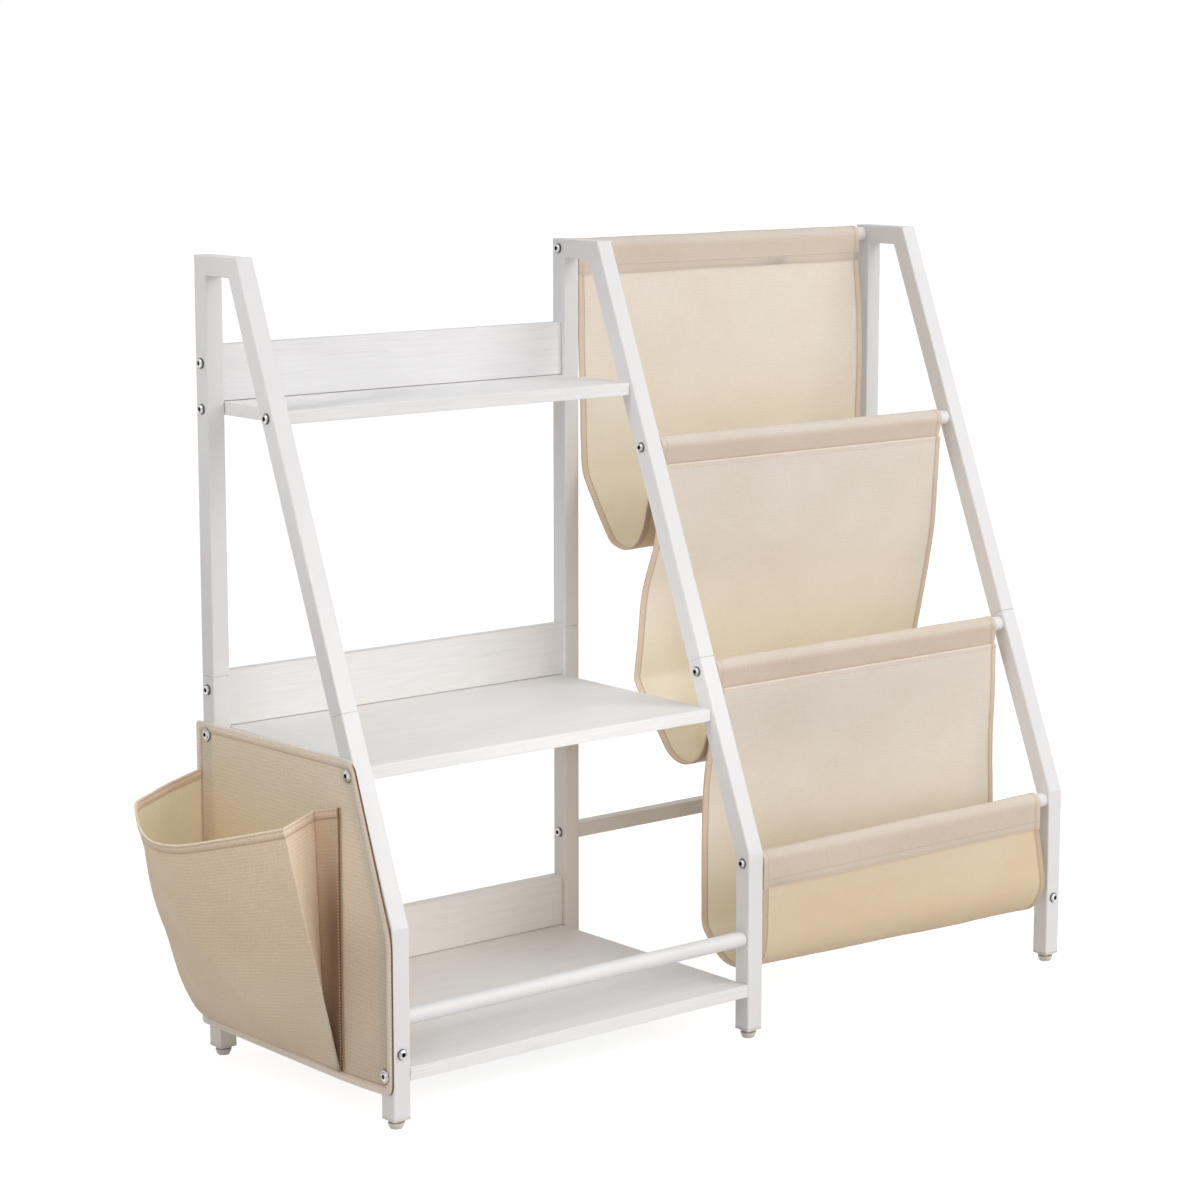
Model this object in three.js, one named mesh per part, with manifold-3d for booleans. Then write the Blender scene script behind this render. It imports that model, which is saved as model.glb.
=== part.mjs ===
// A children's bookshelf. Three side frames of square tube stand in a row: board shelves
// lie between the left and the middle one, and cloth hangs over four rods in three book
// pockets between the middle and the right one. A cloth bag is screwed on the left frame.
// Millimetres: +X along the width to the right, +Y to the rear, +Z up. While it is built,
// X = 0 is the left frame's left face, Y = 0 the legs' front and Z = 0 the legs' lower end.

import * as THREE from 'three';
import { mergeVertices } from 'three/addons/utils/BufferGeometryUtils.js';
import Module from 'manifold-3d';

const wasm = await Module();
wasm.setup();

// Clearances
const gap = 0.3; // between pieces that touch
const weld = 0.001; // corners closer than this are one corner

// Side frames
const frameHeight = 800;
const frameDepth = 318;
const framePitch = 449; // from one frame's left face to the next one's
const tube = 20; // the square tube's width
const tubeWall = 1.2;
const tubeCorner = 1.5; // radius of its long edges
const topBarLength = 74; // from the rear face to the front upper corner
const kneeHeight = 187; // where the front leg bends
const rearSplitRise = 14; // of the rear post's split, above the middle backboard's screw
const slantSplitRise = 11.5; // of the slanted leg's split, above the third rod's centre

// Connectors inside the frames' splits
const connectorWall = 1.5;
const connectorLength = 60;

// End plugs and levelling feet
const plugFlange = 2;
const plugDepth = 18;
const plugBoss = 13; // width of the square boss under the flange
const plugBossDrop = 2;
const footGap = 1; // between the boss and the pad, screwed right in
const footPadRadius = 8.2;
const footSoleRadius = 6.2;
const footPadHeight = 6;
const footStudRadius = 3;
const footStudLength = 19;

// Boards
const boardThickness = 13;
const boardEdge = 0.6; // radius of the boards' edges
const boardRearInset = 2; // from the frames' rear face
const shelfFrontInset = 2.5; // behind the slanted leg's front edge, at the shelf's top
const upperShelfDrop = 144; // of the shelf's top, from the frames' top
const middleShelfDrop = 469.5;
const lowerShelfTop = 50.5; // above the legs' lower end
const backboardHeight = 56;
const backboardScrewRise = 38.5; // above the shelf's top

// Rods, rail and crossbar
const rodRadius = 8;
const rodWall = 1;
const rodEndPlug = 20; // length of the solid end that takes the screw
const secondRodDrop = 210; // of the rod's centre, from the frames' top
const thirdRodDrop = 434;
const frontRodHeight = 177; // above the legs' lower end
const railHeight = 97.5;
const crossbarWidth = 16;
const crossbarHeight = 154;
const ventRadius = 2;
const ventFromEnd = 17;

// Screws
const screwRadius = 2.75;
const screwHeadRadius = 5.3;
const screwHeadHeight = 3.3;
const socketRadius = 2.3; // of the hexagonal socket's corners
const socketDepth = 2;
const screwTip = 1;
const screwHold = 17; // length that goes into a board or a rod's end
const screwFit = 0.45; // between a screw and its hole
const legScrewLength = 14;
const legScrewHeight = 65.5;

// Cloth sling
const cloth = 1.2;
const slingLeftGap = 4; // from the middle frame
const slingRightGap = 14; // from the right frame
const seamDrop = 20; // from a rod's centre to the seam under it
const seamTab = 3; // cloth sewn together below the seam
const hemBand = 9; // the same at the top and the front rod, where the cloth ends
const topSeamForward = 7.5; // a seam's place before its rod's centre
const secondSeamForward = 3;
const thirdSeamForward = 6;
const frontSeamForward = 8;
const upperPocketDepth = 121; // from the centre of the rod in front down to the bottom
const middlePocketDepth = 114;
const lowerPocketDepth = 128;

// Cloth bag on the left frame
const panelThickness = 2.6;
const panelRearOverhang = 9; // past the frame's rear face
const panelFrontOverhang = 2; // past the leg's front face
const panelSlantOverhang = 3.9; // past the slanted leg, at the upper edge
const panelTopRise = 9.5; // above the middle shelf
const panelTopDrop = 4; // of its upper edge, towards the rear
const panelKneeDrop = 9; // of its bend, below the leg's
const panelBottom = 22; // above the legs' lower end
const panelFrontLift = 6; // of its lower front corner, which is drawn up
const panelLiftLength = 60;
const panelCorner = 5;
const panelFrontCorner = 13;
const panelEdge = 0.9;
const bagRearInset = 9; // of its seams, from the panel's edges
const bagFrontInset = 78;
const bagBottomRise = 11;
const bagMouthDrop = 48; // of the mouth's highest point, from the panel's top
const bagBulge = 126;

const white = { color: 0xf1f0ed, roughness: 0.45, metalness: 0 };
const board = { color: 0xefedea, roughness: 0.6, metalness: 0 };
const steel = { color: 0xc9cacb, roughness: 0.25, metalness: 1 };
const plastic = { color: 0xe3ded8, roughness: 0.6, metalness: 0 };
const canvas = { color: 0xdccdb7, roughness: 0.95, metalness: 0 };
const bagCanvas = { color: 0xc7b497, roughness: 0.95, metalness: 0 };

// Derived: the slanted leg
const leanTangent = (frameDepth - topBarLength) / (frameHeight - kneeHeight);
const lean = Math.atan(leanTangent);

// Y on the slanted leg at a height; across runs from its front edge, square to the leg
function slantY(z, across) {
  return (z - kneeHeight) * leanTangent + across / Math.cos(lean);
}

// Height of the bend, on a line that runs across behind the front edge
function kneeZ(across) {
  return kneeHeight + (across - across / Math.cos(lean)) / leanTangent;
}

// Y of a line that runs across behind the front leg's front edge
function legY(z, across = tube / 2) {
  return z > kneeZ(across) ? slantY(z, across) : across;
}

const postY = frameDepth - tube / 2;
const upperShelfTop = frameHeight - upperShelfDrop;
const middleShelfTop = frameHeight - middleShelfDrop;
const secondRodHeight = frameHeight - secondRodDrop;
const thirdRodHeight = frameHeight - thirdRodDrop;
const rearSplitHeight = middleShelfTop + backboardScrewRise + rearSplitRise;
const slantSplitHeight = thirdRodHeight + slantSplitRise;
const holeRadius = screwRadius + screwFit;
const screwReach = tube + gap + screwHold;

// Closed three.js geometry to a solid, and back
function solidOf(geometry) {
  const bare = geometry.clone();
  bare.deleteAttribute('normal');
  bare.deleteAttribute('uv');
  const merged = mergeVertices(bare, weld);
  const corners = merged.index.array;
  const kept = [];
  for (let i = 0; i < corners.length; i += 3) {
    const [a, b, c] = [corners[i], corners[i + 1], corners[i + 2]];
    if (a !== b && b !== c && c !== a) kept.push(a, b, c);
  }
  return new wasm.Manifold(new wasm.Mesh({
    numProp: 3,
    vertProperties: new Float32Array(merged.attributes.position.array),
    triVerts: new Uint32Array(kept),
  }));
}

function geometryOf(solid) {
  const mesh = solid.getMesh();
  const geometry = new THREE.BufferGeometry();
  geometry.setAttribute('position', new THREE.BufferAttribute(mesh.vertProperties, 3));
  geometry.setIndex(new THREE.BufferAttribute(mesh.triVerts, 1));
  geometry.computeVertexNormals();
  return geometry;
}

function makeMesh(name, solid, look) {
  const mesh = new THREE.Mesh(geometryOf(solid), new THREE.MeshStandardMaterial(look));
  mesh.name = name;
  return mesh;
}

// A shape drawn in (Y, Z) is extruded along X, its long edges rounded by edge
const drawnInYZ = new THREE.Matrix4().makeBasis(
  new THREE.Vector3(0, 1, 0),
  new THREE.Vector3(0, 0, 1),
  new THREE.Vector3(1, 0, 0),
);

function extrudeAlongX(shape, x0, x1, edge = 0) {
  const geometry = new THREE.ExtrudeGeometry(shape, {
    depth: x1 - x0 - 2 * edge,
    bevelEnabled: edge > 0,
    bevelSize: edge,
    bevelThickness: edge,
    bevelOffset: -edge,
    bevelSegments: 2,
    curveSegments: 4,
  });
  geometry.applyMatrix4(drawnInYZ);
  geometry.translate(x0 + edge, 0, 0);
  return solidOf(geometry);
}

function polygon(points) {
  return new THREE.Shape(points.map(([y, z]) => new THREE.Vector2(y, z)));
}

// Polygon whose corners are rounded, each by its own radius
function roundedPolygon(corners) {
  const shape = new THREE.Shape();
  corners.forEach(([y, z, radius], i) => {
    const corner = new THREE.Vector2(y, z);
    const before = corners[(i + corners.length - 1) % corners.length];
    const after = corners[(i + 1) % corners.length];
    const toBefore = new THREE.Vector2(before[0], before[1]).sub(corner).normalize();
    const toAfter = new THREE.Vector2(after[0], after[1]).sub(corner).normalize();
    const start = corner.clone().addScaledVector(toBefore, radius);
    const end = corner.clone().addScaledVector(toAfter, radius);
    if (i === 0) shape.moveTo(start.x, start.y);
    else shape.lineTo(start.x, start.y);
    shape.quadraticCurveTo(corner.x, corner.y, end.x, end.y);
  });
  shape.closePath();
  return shape;
}

function box(x0, x1, y0, y1, z0, z1) {
  const geometry = new THREE.BoxGeometry(x1 - x0, y1 - y0, z1 - z0);
  geometry.translate((x0 + x1) / 2, (y0 + y1) / 2, (z0 + z1) / 2);
  return solidOf(geometry);
}

const drillSides = 8;

function drillAlongX(radius, x0, x1, y, z) {
  const geometry = new THREE.CylinderGeometry(radius, radius, x1 - x0, drillSides);
  geometry.rotateZ(-Math.PI / 2);
  geometry.translate((x0 + x1) / 2, y, z);
  return solidOf(geometry);
}

function drillAlongZ(radius, x, y, z0, z1) {
  const geometry = new THREE.CylinderGeometry(radius, radius, z1 - z0, drillSides);
  geometry.rotateX(Math.PI / 2);
  geometry.translate(x, y, (z0 + z1) / 2);
  return solidOf(geometry);
}

// Places of the screws, as (Y, Z)
const shelves = {
  upper: { top: upperShelfTop, front: legY(upperShelfTop, 0) + shelfFrontInset },
  middle: { top: middleShelfTop, front: legY(middleShelfTop, 0) + shelfFrontInset },
  lower: { top: lowerShelfTop, front: 0 },
};
for (const shelf of Object.values(shelves)) {
  const screwZ = shelf.top - boardThickness / 2;
  shelf.rearScrew = [postY, screwZ];
  shelf.frontScrew = [legY(screwZ), screwZ];
  shelf.backScrew = [postY, shelf.top + backboardScrewRise];
}
const rail = [tube / 2, railHeight];
const crossbar = [postY, crossbarHeight];
const rods = {
  top: { at: [postY, frameHeight - tube / 2], seamForward: topSeamForward, band: hemBand },
  second: { at: [legY(secondRodHeight), secondRodHeight], seamForward: secondSeamForward, band: seamTab },
  third: { at: [legY(thirdRodHeight), thirdRodHeight], seamForward: thirdSeamForward, band: seamTab },
  front: { at: [legY(frontRodHeight), frontRodHeight], seamForward: frontSeamForward, band: hemBand },
};
const boardScrews = Object.values(shelves).flatMap((s) => [s.rearScrew, s.frontScrew, s.backScrew]);
const rodScrews = [...Object.values(rods).map((rod) => rod.at), crossbar];
const sides = [
  { name: 'left', holes: [...boardScrews, rail], legScrew: true },
  { name: 'middle', holes: [...boardScrews, rail, ...rodScrews], legScrew: false },
  { name: 'right', holes: rodScrews, legScrew: true },
];
const innerLeft = tube; // the left frame's inner face
const middleLeft = framePitch;
const middleRight = framePitch + tube;
const rightLeft = 2 * framePitch;

// Outline of the whole bent tube, inset from its outer faces, run past the floor
function frameOutline(inset) {
  const far = tube - inset;
  const top = frameHeight - inset;
  const under = frameHeight - far;
  return polygon([
    [inset, -tube],
    [inset, kneeZ(inset)],
    [slantY(top, inset), top],
    [frameDepth - inset, top],
    [frameDepth - inset, -tube],
    [frameDepth - far, -tube],
    [frameDepth - far, under],
    [slantY(under, far), under],
    [far, kneeZ(far)],
    [far, -tube],
  ]);
}

// The slanted leg's cut: a line square to the leg, moved along it
function slantCut(along) {
  const middle = new THREE.Vector2(slantY(slantSplitHeight, tube / 2), slantSplitHeight);
  middle.addScaledVector(new THREE.Vector2(Math.sin(lean), Math.cos(lean)), along);
  const across = new THREE.Vector2(Math.cos(lean), -Math.sin(lean)).multiplyScalar(tube);
  const rear = middle.clone().add(across);
  const front = middle.clone().sub(across);
  return { rear: [rear.x, rear.y], front: [front.x, front.y] };
}

// Square tube inside a split, standing on its centre
function connector() {
  const outer = tube - 2 * tubeWall - 2 * gap;
  const inner = outer - 2 * connectorWall;
  const bar = box(-outer / 2, outer / 2, -outer / 2, outer / 2, -connectorLength / 2, connectorLength / 2);
  const hollow = box(-inner / 2, inner / 2, -inner / 2, inner / 2, -connectorLength, connectorLength);
  return bar.subtract(hollow);
}

// Plug in a leg's end: body inside the tube, flange under it, boss and threaded hole
function endPlug() {
  const body = (tube - 2 * tubeWall - 2 * gap) / 2;
  const boss = plugBoss / 2;
  const half = tube / 2;
  const flange = extrudeAlongX(roundedPolygon([
    [-half, 0, tubeCorner],
    [half, 0, tubeCorner],
    [half, plugFlange, 0],
    [-half, plugFlange, 0],
  ]), -half, half);
  const inside = box(-body, body, -body, body, plugFlange / 2, plugFlange + plugDepth);
  const under = box(-boss, boss, -boss, boss, -plugBossDrop, plugFlange / 2);
  const bore = drillAlongZ(footStudRadius + screwFit, 0, 0, -tube, plugDepth + tube);
  return flange.add(inside).add(under).subtract(bore);
}

// Levelling foot: a tapered pad moulded on a stud
function levellingFoot() {
  const top = -plugBossDrop - footGap;
  const sole = top - footPadHeight;
  const rim = footPadHeight / 4;
  const profile = [
    [0, sole],
    [footSoleRadius - rim / 2, sole],
    [footSoleRadius, sole + rim / 2],
    [footPadRadius, top - rim],
    [footPadRadius, top],
    [footStudRadius, top],
    [footStudRadius, top + footStudLength],
    [0, top + footStudLength],
  ];
  const geometry = new THREE.LatheGeometry(profile.map(([r, y]) => new THREE.Vector2(r, y)), 16);
  geometry.rotateX(Math.PI / 2);
  return solidOf(geometry);
}

// Button-head screw along +X; the head's underside is at X = 0
const headShares = [[0, 1], [0.5, 1], [0.83, 0.8], [0.98, 0.4], [1, 0]];

function buttonScrew(length) {
  const head = headShares.map(([r, h]) => [r * screwHeadRadius, -h * screwHeadHeight]);
  const profile = [
    ...head,
    [screwRadius, 0],
    [screwRadius, length - screwTip],
    [screwRadius - screwTip, length],
    [0, length],
  ];
  const geometry = new THREE.LatheGeometry(profile.map(([r, y]) => new THREE.Vector2(r, y)), 12);
  geometry.rotateZ(-Math.PI / 2);
  const socket = new THREE.CylinderGeometry(socketRadius, socketRadius, 2 * socketDepth, 6);
  socket.rotateZ(-Math.PI / 2);
  socket.translate(-screwHeadHeight, 0, 0);
  return solidOf(geometry).subtract(solidOf(socket));
}

// Round tube along X, with a solid end that takes a screw at each end
function roundRod(length) {
  const bore = rodRadius - rodWall;
  const profile = [
    [holeRadius, 0],
    [rodRadius, 0],
    [rodRadius, length],
    [holeRadius, length],
    [holeRadius, length - rodEndPlug],
    [bore, length - rodEndPlug],
    [bore, rodEndPlug],
    [holeRadius, rodEndPlug],
    [holeRadius, 0],
  ];
  const geometry = new THREE.LatheGeometry(profile.map(([r, y]) => new THREE.Vector2(r, y)), 20);
  geometry.rotateZ(-Math.PI / 2);
  return solidOf(geometry);
}

// One side frame: the welded upper part, two lower legs, connectors, plugs and feet
function sideFrame(side) {
  const group = new THREE.Group();
  let shell = extrudeAlongX(frameOutline(0), 0, tube, tubeCorner);
  shell = shell.subtract(extrudeAlongX(frameOutline(tubeWall), tubeWall, tube - tubeWall));
  for (const [y, z] of side.holes) {
    shell = shell.subtract(drillAlongX(holeRadius, -tube, 2 * tube, y, z));
  }
  if (side.legScrew) {
    const hole = new THREE.CylinderGeometry(holeRadius, holeRadius, tube, drillSides);
    hole.translate(tube / 2, 0, legScrewHeight);
    shell = shell.subtract(solidOf(hole));
  }
  const legEnd = plugFlange + gap;
  const above = slantCut(gap / 2);
  const below = slantCut(-gap / 2);
  const blocks = {
    frame_upper: [
      above.rear, above.front, [above.front[0], frameHeight + tube],
      [frameDepth + tube, frameHeight + tube], [frameDepth + tube, rearSplitHeight + gap / 2],
      [frameDepth / 2, rearSplitHeight + gap / 2],
    ],
    front_leg: [
      below.rear, below.front, [-tube, below.front[1]], [-tube, legEnd], [below.rear[0], legEnd],
    ],
    rear_leg: [
      [frameDepth / 2, legEnd], [frameDepth + tube, legEnd],
      [frameDepth + tube, rearSplitHeight - gap / 2], [frameDepth / 2, rearSplitHeight - gap / 2],
    ],
  };
  for (const [name, outline] of Object.entries(blocks)) {
    const block = extrudeAlongX(polygon(outline), -tube, 2 * tube);
    group.add(makeMesh(`${name}_${side.name}`, shell.intersect(block), white));
  }

  const joints = {
    rear: { at: [postY, rearSplitHeight], turn: 0 },
    front: { at: [slantY(slantSplitHeight, tube / 2), slantSplitHeight], turn: -lean },
  };
  for (const [name, joint] of Object.entries(joints)) {
    const [jointY, jointZ] = joint.at;
    let solid = connector();
    for (const [y, z] of side.holes) {
      const reach = new THREE.Vector2(y - jointY, z - jointZ);
      if (reach.length() > connectorLength / 2 - holeRadius) continue;
      reach.rotateAround(new THREE.Vector2(), -joint.turn);
      solid = solid.subtract(drillAlongX(holeRadius, -tube, tube, reach.x, reach.y));
    }
    const mesh = makeMesh(`frame_connector_${name}_${side.name}`, solid, steel);
    mesh.position.set(tube / 2, jointY, jointZ);
    mesh.rotation.x = joint.turn;
    group.add(mesh);
  }

  for (const [name, y] of Object.entries({ front: tube / 2, rear: postY })) {
    const plug = makeMesh(`end_plug_${name}_${side.name}`, endPlug(), plastic);
    const foot = makeMesh(`levelling_foot_${name}_${side.name}`, levellingFoot(), plastic);
    plug.position.set(tube / 2, y, 0);
    foot.position.copy(plug.position);
    group.add(plug, foot);
  }

  if (side.legScrew) {
    const screw = makeMesh(`leg_screw_${side.name}`, buttonScrew(legScrewLength), steel);
    screw.rotation.z = Math.PI / 2;
    screw.position.set(tube / 2, -gap, legScrewHeight);
    group.add(screw);
  }
  return group;
}

// A shelf and its backboard between the left and the middle frame
function shelfSet(name, shelf) {
  const group = new THREE.Group();
  const x0 = innerLeft + gap;
  const x1 = middleLeft - gap;
  const rear = frameDepth - boardRearInset;
  const under = shelf.top - boardThickness;
  const foot = shelf.top + gap;
  const outlines = {
    shelf: [[shelf.front, under], [rear, under], [rear, shelf.top], [shelf.front, shelf.top]],
    backboard: [
      [rear - boardThickness, foot], [rear, foot],
      [rear, shelf.top + backboardHeight], [rear - boardThickness, shelf.top + backboardHeight],
    ],
  };
  const holes = { shelf: [shelf.rearScrew, shelf.frontScrew], backboard: [shelf.backScrew] };
  const depth = screwHold + 2 * gap;
  for (const [kind, outline] of Object.entries(outlines)) {
    const shape = roundedPolygon(outline.map(([y, z]) => [y, z, boardEdge]));
    let solid = extrudeAlongX(shape, x0, x1);
    for (const [y, z] of holes[kind]) {
      solid = solid.subtract(drillAlongX(holeRadius, x0 - tube, x0 + depth, y, z));
      solid = solid.subtract(drillAlongX(holeRadius, x1 - depth, x1 + tube, y, z));
    }
    group.add(makeMesh(`${kind}_${name}`, solid, board));
  }
  return group;
}

function screwAt(name, length, x, [y, z]) {
  const screw = makeMesh(name, buttonScrew(length), steel);
  screw.position.set(x, y, z);
  return screw;
}

// Cloth that follows a line of (Y, Z) points: its outline, cloth thick
function ribbonOutline(line) {
  const offset = (side) => line.map((point, i) => {
    const before = line[Math.max(i - 1, 0)];
    const after = line[Math.min(i + 1, line.length - 1)];
    const into = point.clone().sub(before).normalize();
    const out = after.clone().sub(point).normalize();
    if (i === 0) into.copy(out);
    if (i === line.length - 1) out.copy(into);
    const along = into.clone().add(out).normalize();
    const reach = side * cloth / 2 / Math.max(along.dot(into), 0.5);
    return new THREE.Vector2(point.x - along.y * reach, point.y + along.x * reach);
  });
  return [...offset(1), ...offset(-1).reverse()];
}

// Solid between two outlines with as many points, the left one at x0, the right one at x1
const loftSteps = 4;

function loftAlongX(left, right, x0, x1) {
  if (THREE.ShapeUtils.isClockWise(left)) {
    left = [...left].reverse();
    right = [...right].reverse();
  }
  const count = left.length;
  const positions = [];
  const index = [];
  for (let step = 0; step <= loftSteps; step += 1) {
    const share = step / loftSteps;
    for (let i = 0; i < count; i += 1) {
      const point = left[i].clone().lerp(right[i], share);
      positions.push(x0 + (x1 - x0) * share, point.x, point.y);
    }
  }
  for (let step = 0; step < loftSteps; step += 1) {
    for (let i = 0; i < count; i += 1) {
      const a = step * count + i;
      const b = step * count + (i + 1) % count;
      index.push(a, b, b + count, a, b + count, a + count);
    }
  }
  const last = loftSteps * count;
  for (const [a, b, c] of THREE.ShapeUtils.triangulateShape(left, [])) index.push(a, c, b);
  for (const [a, b, c] of THREE.ShapeUtils.triangulateShape(right, [])) {
    index.push(last + a, last + b, last + c);
  }
  const geometry = new THREE.BufferGeometry();
  geometry.setAttribute('position', new THREE.Float32BufferAttribute(positions, 3));
  geometry.setIndex(index);
  return solidOf(geometry);
}

// Drop-shaped outline round a rod: an arc over the top, and straight sides that run
// tangent to a tab below it
const sleeveSteps = 10;

function dropOutline(radius, forward, tabTop, tabBottom, halfWidth) {
  const sideAngle = (y, turn) => {
    const corner = new THREE.Vector2(y, -tabTop);
    return Math.atan2(corner.y, corner.x) + turn * Math.acos(radius / corner.length());
  };
  const frontAngle = sideAngle(-forward - halfWidth, -1) + 2 * Math.PI;
  const rearAngle = sideAngle(-forward + halfWidth, 1);
  const points = [];
  for (let i = 0; i <= sleeveSteps; i += 1) {
    const angle = frontAngle + (rearAngle - frontAngle) * i / sleeveSteps;
    points.push([radius * Math.cos(angle), radius * Math.sin(angle)]);
  }
  if (halfWidth === 0) return [...points, [-forward, -tabTop]];
  return [
    ...points,
    [-forward + halfWidth, -tabTop],
    [-forward + halfWidth, -tabBottom],
    [-forward - halfWidth, -tabBottom],
    [-forward - halfWidth, -tabTop],
  ];
}

const slingLeft = middleRight + slingLeftGap;
const slingRight = rightLeft - slingRightGap;

function sleeve(rod) {
  const [rodY, rodZ] = rod.at;
  const bore = rodRadius + gap;
  const place = ([y, z]) => [y + rodY, z + rodZ];
  const outer = dropOutline(bore + cloth, rod.seamForward, seamDrop, seamDrop + rod.band, cloth);
  const inner = dropOutline(bore, rod.seamForward, seamDrop - cloth, 0, 0);
  const outside = extrudeAlongX(polygon(outer.map(place)), slingLeft, slingRight);
  const tunnel = extrudeAlongX(polygon(inner.map(place)), slingLeft - tube, slingRight + tube);
  return outside.subtract(tunnel);
}

// A book pocket hangs from its upper rod's seam and comes up to its lower rod's seam.
// Its section's points: depth share, 0 at the lower rod and 1 at the upper one, and
// height share, 0 at the pocket's bottom and 1 at the upper seam.
const upperPocketShares = {
  left: [[0.94, 0.77], [0.92, 0.5], [0.915, 0.25], [0.745, 0.13], [0.56, 0.025], [0.4, 0],
    [0.215, 0.04], [0.12, 0.15], [0.06, 0.25]],
  right: [[0.9, 0.77], [0.9, 0.5], [0.9, 0.25], [0.73, 0.12], [0.55, 0.02], [0.4, 0],
    [0.215, 0.04], [0.12, 0.15], [0.06, 0.25]],
};
const middlePocketShares = {
  left: [[0.96, 0.88], [1.045, 0.73], [1.265, 0.547], [1.4, 0.27], [1.01, 0.088], [0.65, 0.006],
    [0.51, 0], [0.27, 0.06], [0.176, 0.113], [0.09, 0.2]],
  right: [[0.955, 0.88], [1, 0.7], [1.11, 0.525], [1.3, 0.27], [0.96, 0.088], [0.65, 0.006],
    [0.51, 0], [0.27, 0.06], [0.176, 0.113], [0.09, 0.2]],
};
const lowerPocketShares = {
  left: [[1.05, 0.82], [1.167, 0.673], [1.21, 0.465], [1.236, 0.14], [1.125, 0.09], [0.75, 0.024],
    [0.3, 0.022], [-0.04, 0.048], [-0.264, 0.13], [-0.18, 0.236]],
  right: [[0.875, 0.845], [0.903, 0.616], [0.88, 0.4], [0.92, 0.14], [0.86, 0.085], [0.62, 0.006],
    [0.3, 0], [-0.04, 0.027], [-0.264, 0.12], [-0.18, 0.236]],
};
const pocketSteps = 30;

function pocket(upperRod, lowerRod, depth, shares) {
  const [upperY, upperZ] = upperRod.at;
  const [lowerY, lowerZ] = lowerRod.at;
  const isEnd = (rod) => rod.band === hemBand;
  const seamTop = upperZ - seamDrop;
  const startY = upperY - upperRod.seamForward + (isEnd(upperRod) ? cloth / 2 : -cloth / 2);
  const lowerSeamY = lowerY - lowerRod.seamForward;
  const endY = lowerSeamY + (isEnd(lowerRod) ? cloth / 2 : 1.5 * cloth + gap);
  const lowerTop = lowerZ - seamDrop;
  const floor = lowerZ - depth + cloth / 2;
  const line = (points) => {
    const curve = new THREE.CatmullRomCurve3([
      new THREE.Vector3(startY, seamTop - upperRod.band, 0),
      ...points.map(([rearward, height]) => new THREE.Vector3(
        lowerY + rearward * (upperY - lowerY), floor + height * (seamTop - floor), 0)),
      new THREE.Vector3(endY, lowerTop - lowerRod.band, 0),
    ], false, 'centripetal');
    return [
      new THREE.Vector2(startY, seamTop),
      ...curve.getPoints(pocketSteps).map((point) => new THREE.Vector2(point.x, point.y)),
      new THREE.Vector2(endY, lowerTop),
    ];
  };
  const left = ribbonOutline(line(shares.left));
  const right = ribbonOutline(line(shares.right));
  let solid = loftAlongX(left, right, slingLeft, slingRight).add(sleeve(upperRod));
  if (isEnd(lowerRod)) solid = solid.add(sleeve(lowerRod));
  return solid;
}

// Bag on the left frame: a flat panel, and a cloth that stands out from it with an open
// mouth and a folded gusset at each side
const panelRight = -gap;
const panelLeft = panelRight - panelThickness;
const panelRear = frameDepth + panelRearOverhang;
const panelTop = middleShelfTop + panelTopRise;
const bagWallX = panelLeft - gap;
const bagRearSeam = panelRear - bagRearInset;
const bagFrontSeam = bagFrontInset - panelFrontOverhang;
const bagBottom = panelBottom + bagBottomRise;
const bagHeight = panelTop - bagMouthDrop - bagBottom;

function bagPanel() {
  const shape = roundedPolygon([
    [-panelFrontOverhang, panelBottom + panelFrontLift, panelCorner],
    [panelLiftLength, panelBottom, panelFrontCorner],
    [panelRear, panelBottom, panelCorner],
    [panelRear, panelTop - panelTopDrop, panelCorner],
    [legY(panelTop, 0) - panelSlantOverhang, panelTop, panelFrontCorner],
    [-panelFrontOverhang, kneeHeight - panelKneeDrop, panelFrontCorner],
  ]);
  let solid = extrudeAlongX(shape, panelLeft, panelRight, panelEdge);
  for (const [y, z] of panelScrews) {
    solid = solid.subtract(drillAlongX(holeRadius, panelLeft - tube, tube, y, z));
  }
  return solid;
}

const panelScrews = [
  shelves.middle.rearScrew, shelves.middle.frontScrew,
  shelves.lower.rearScrew, shelves.lower.frontScrew,
];

// The bag's sections from the rear seam round to the front one. Shares: of the way from
// the rear to the front seam at the mouth and at the bottom, of the bulge at the mouth
// and of the bag's height there. The last one is the power that the bulge grows by.
const bagShares = [
  [0, 0, 0, 0.985, 0.6],
  [0.008, 0.006, 0.305, 0.95, 0.6],
  [0.083, 0.012, 0.695, 0.919, 0.6],
  [0.186, 0.11, 0.817, 0.903, 0.6],
  [0.341, 0.28, 0.955, 0.87, 0.6],
  [0.455, 0.4, 1, 0.855, 0.6],
  [0.589, 0.54, 0.983, 0.861, 0.62],
  [0.69, 0.65, 0.912, 0.88, 0.68],
  [0.781, 0.75, 0.83, 0.903, 0.78],
  [0.893, 0.875, 0.668, 0.931, 0.9],
  [0.992, 0.98, 0.502, 0.958, 1],
  [0.876, 0.99, 0.07, 0.973, 1],
  [1, 1, 0, 1, 1],
];
const bagRows = 10;

function bagPoint([mouth, foot, out, height, power], rowShare) {
  const rise = rowShare * rowShare; // the rows lie closer near the bottom
  const way = foot + (mouth - foot) * rise;
  const reach = rowShare === 0 ? 0 : cloth + out * bagBulge * Math.pow(rise, power);
  return new THREE.Vector3(
    bagWallX - reach,
    bagRearSeam + way * (bagFrontSeam - bagRearSeam),
    bagBottom + rise * height * bagHeight,
  );
}

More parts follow.
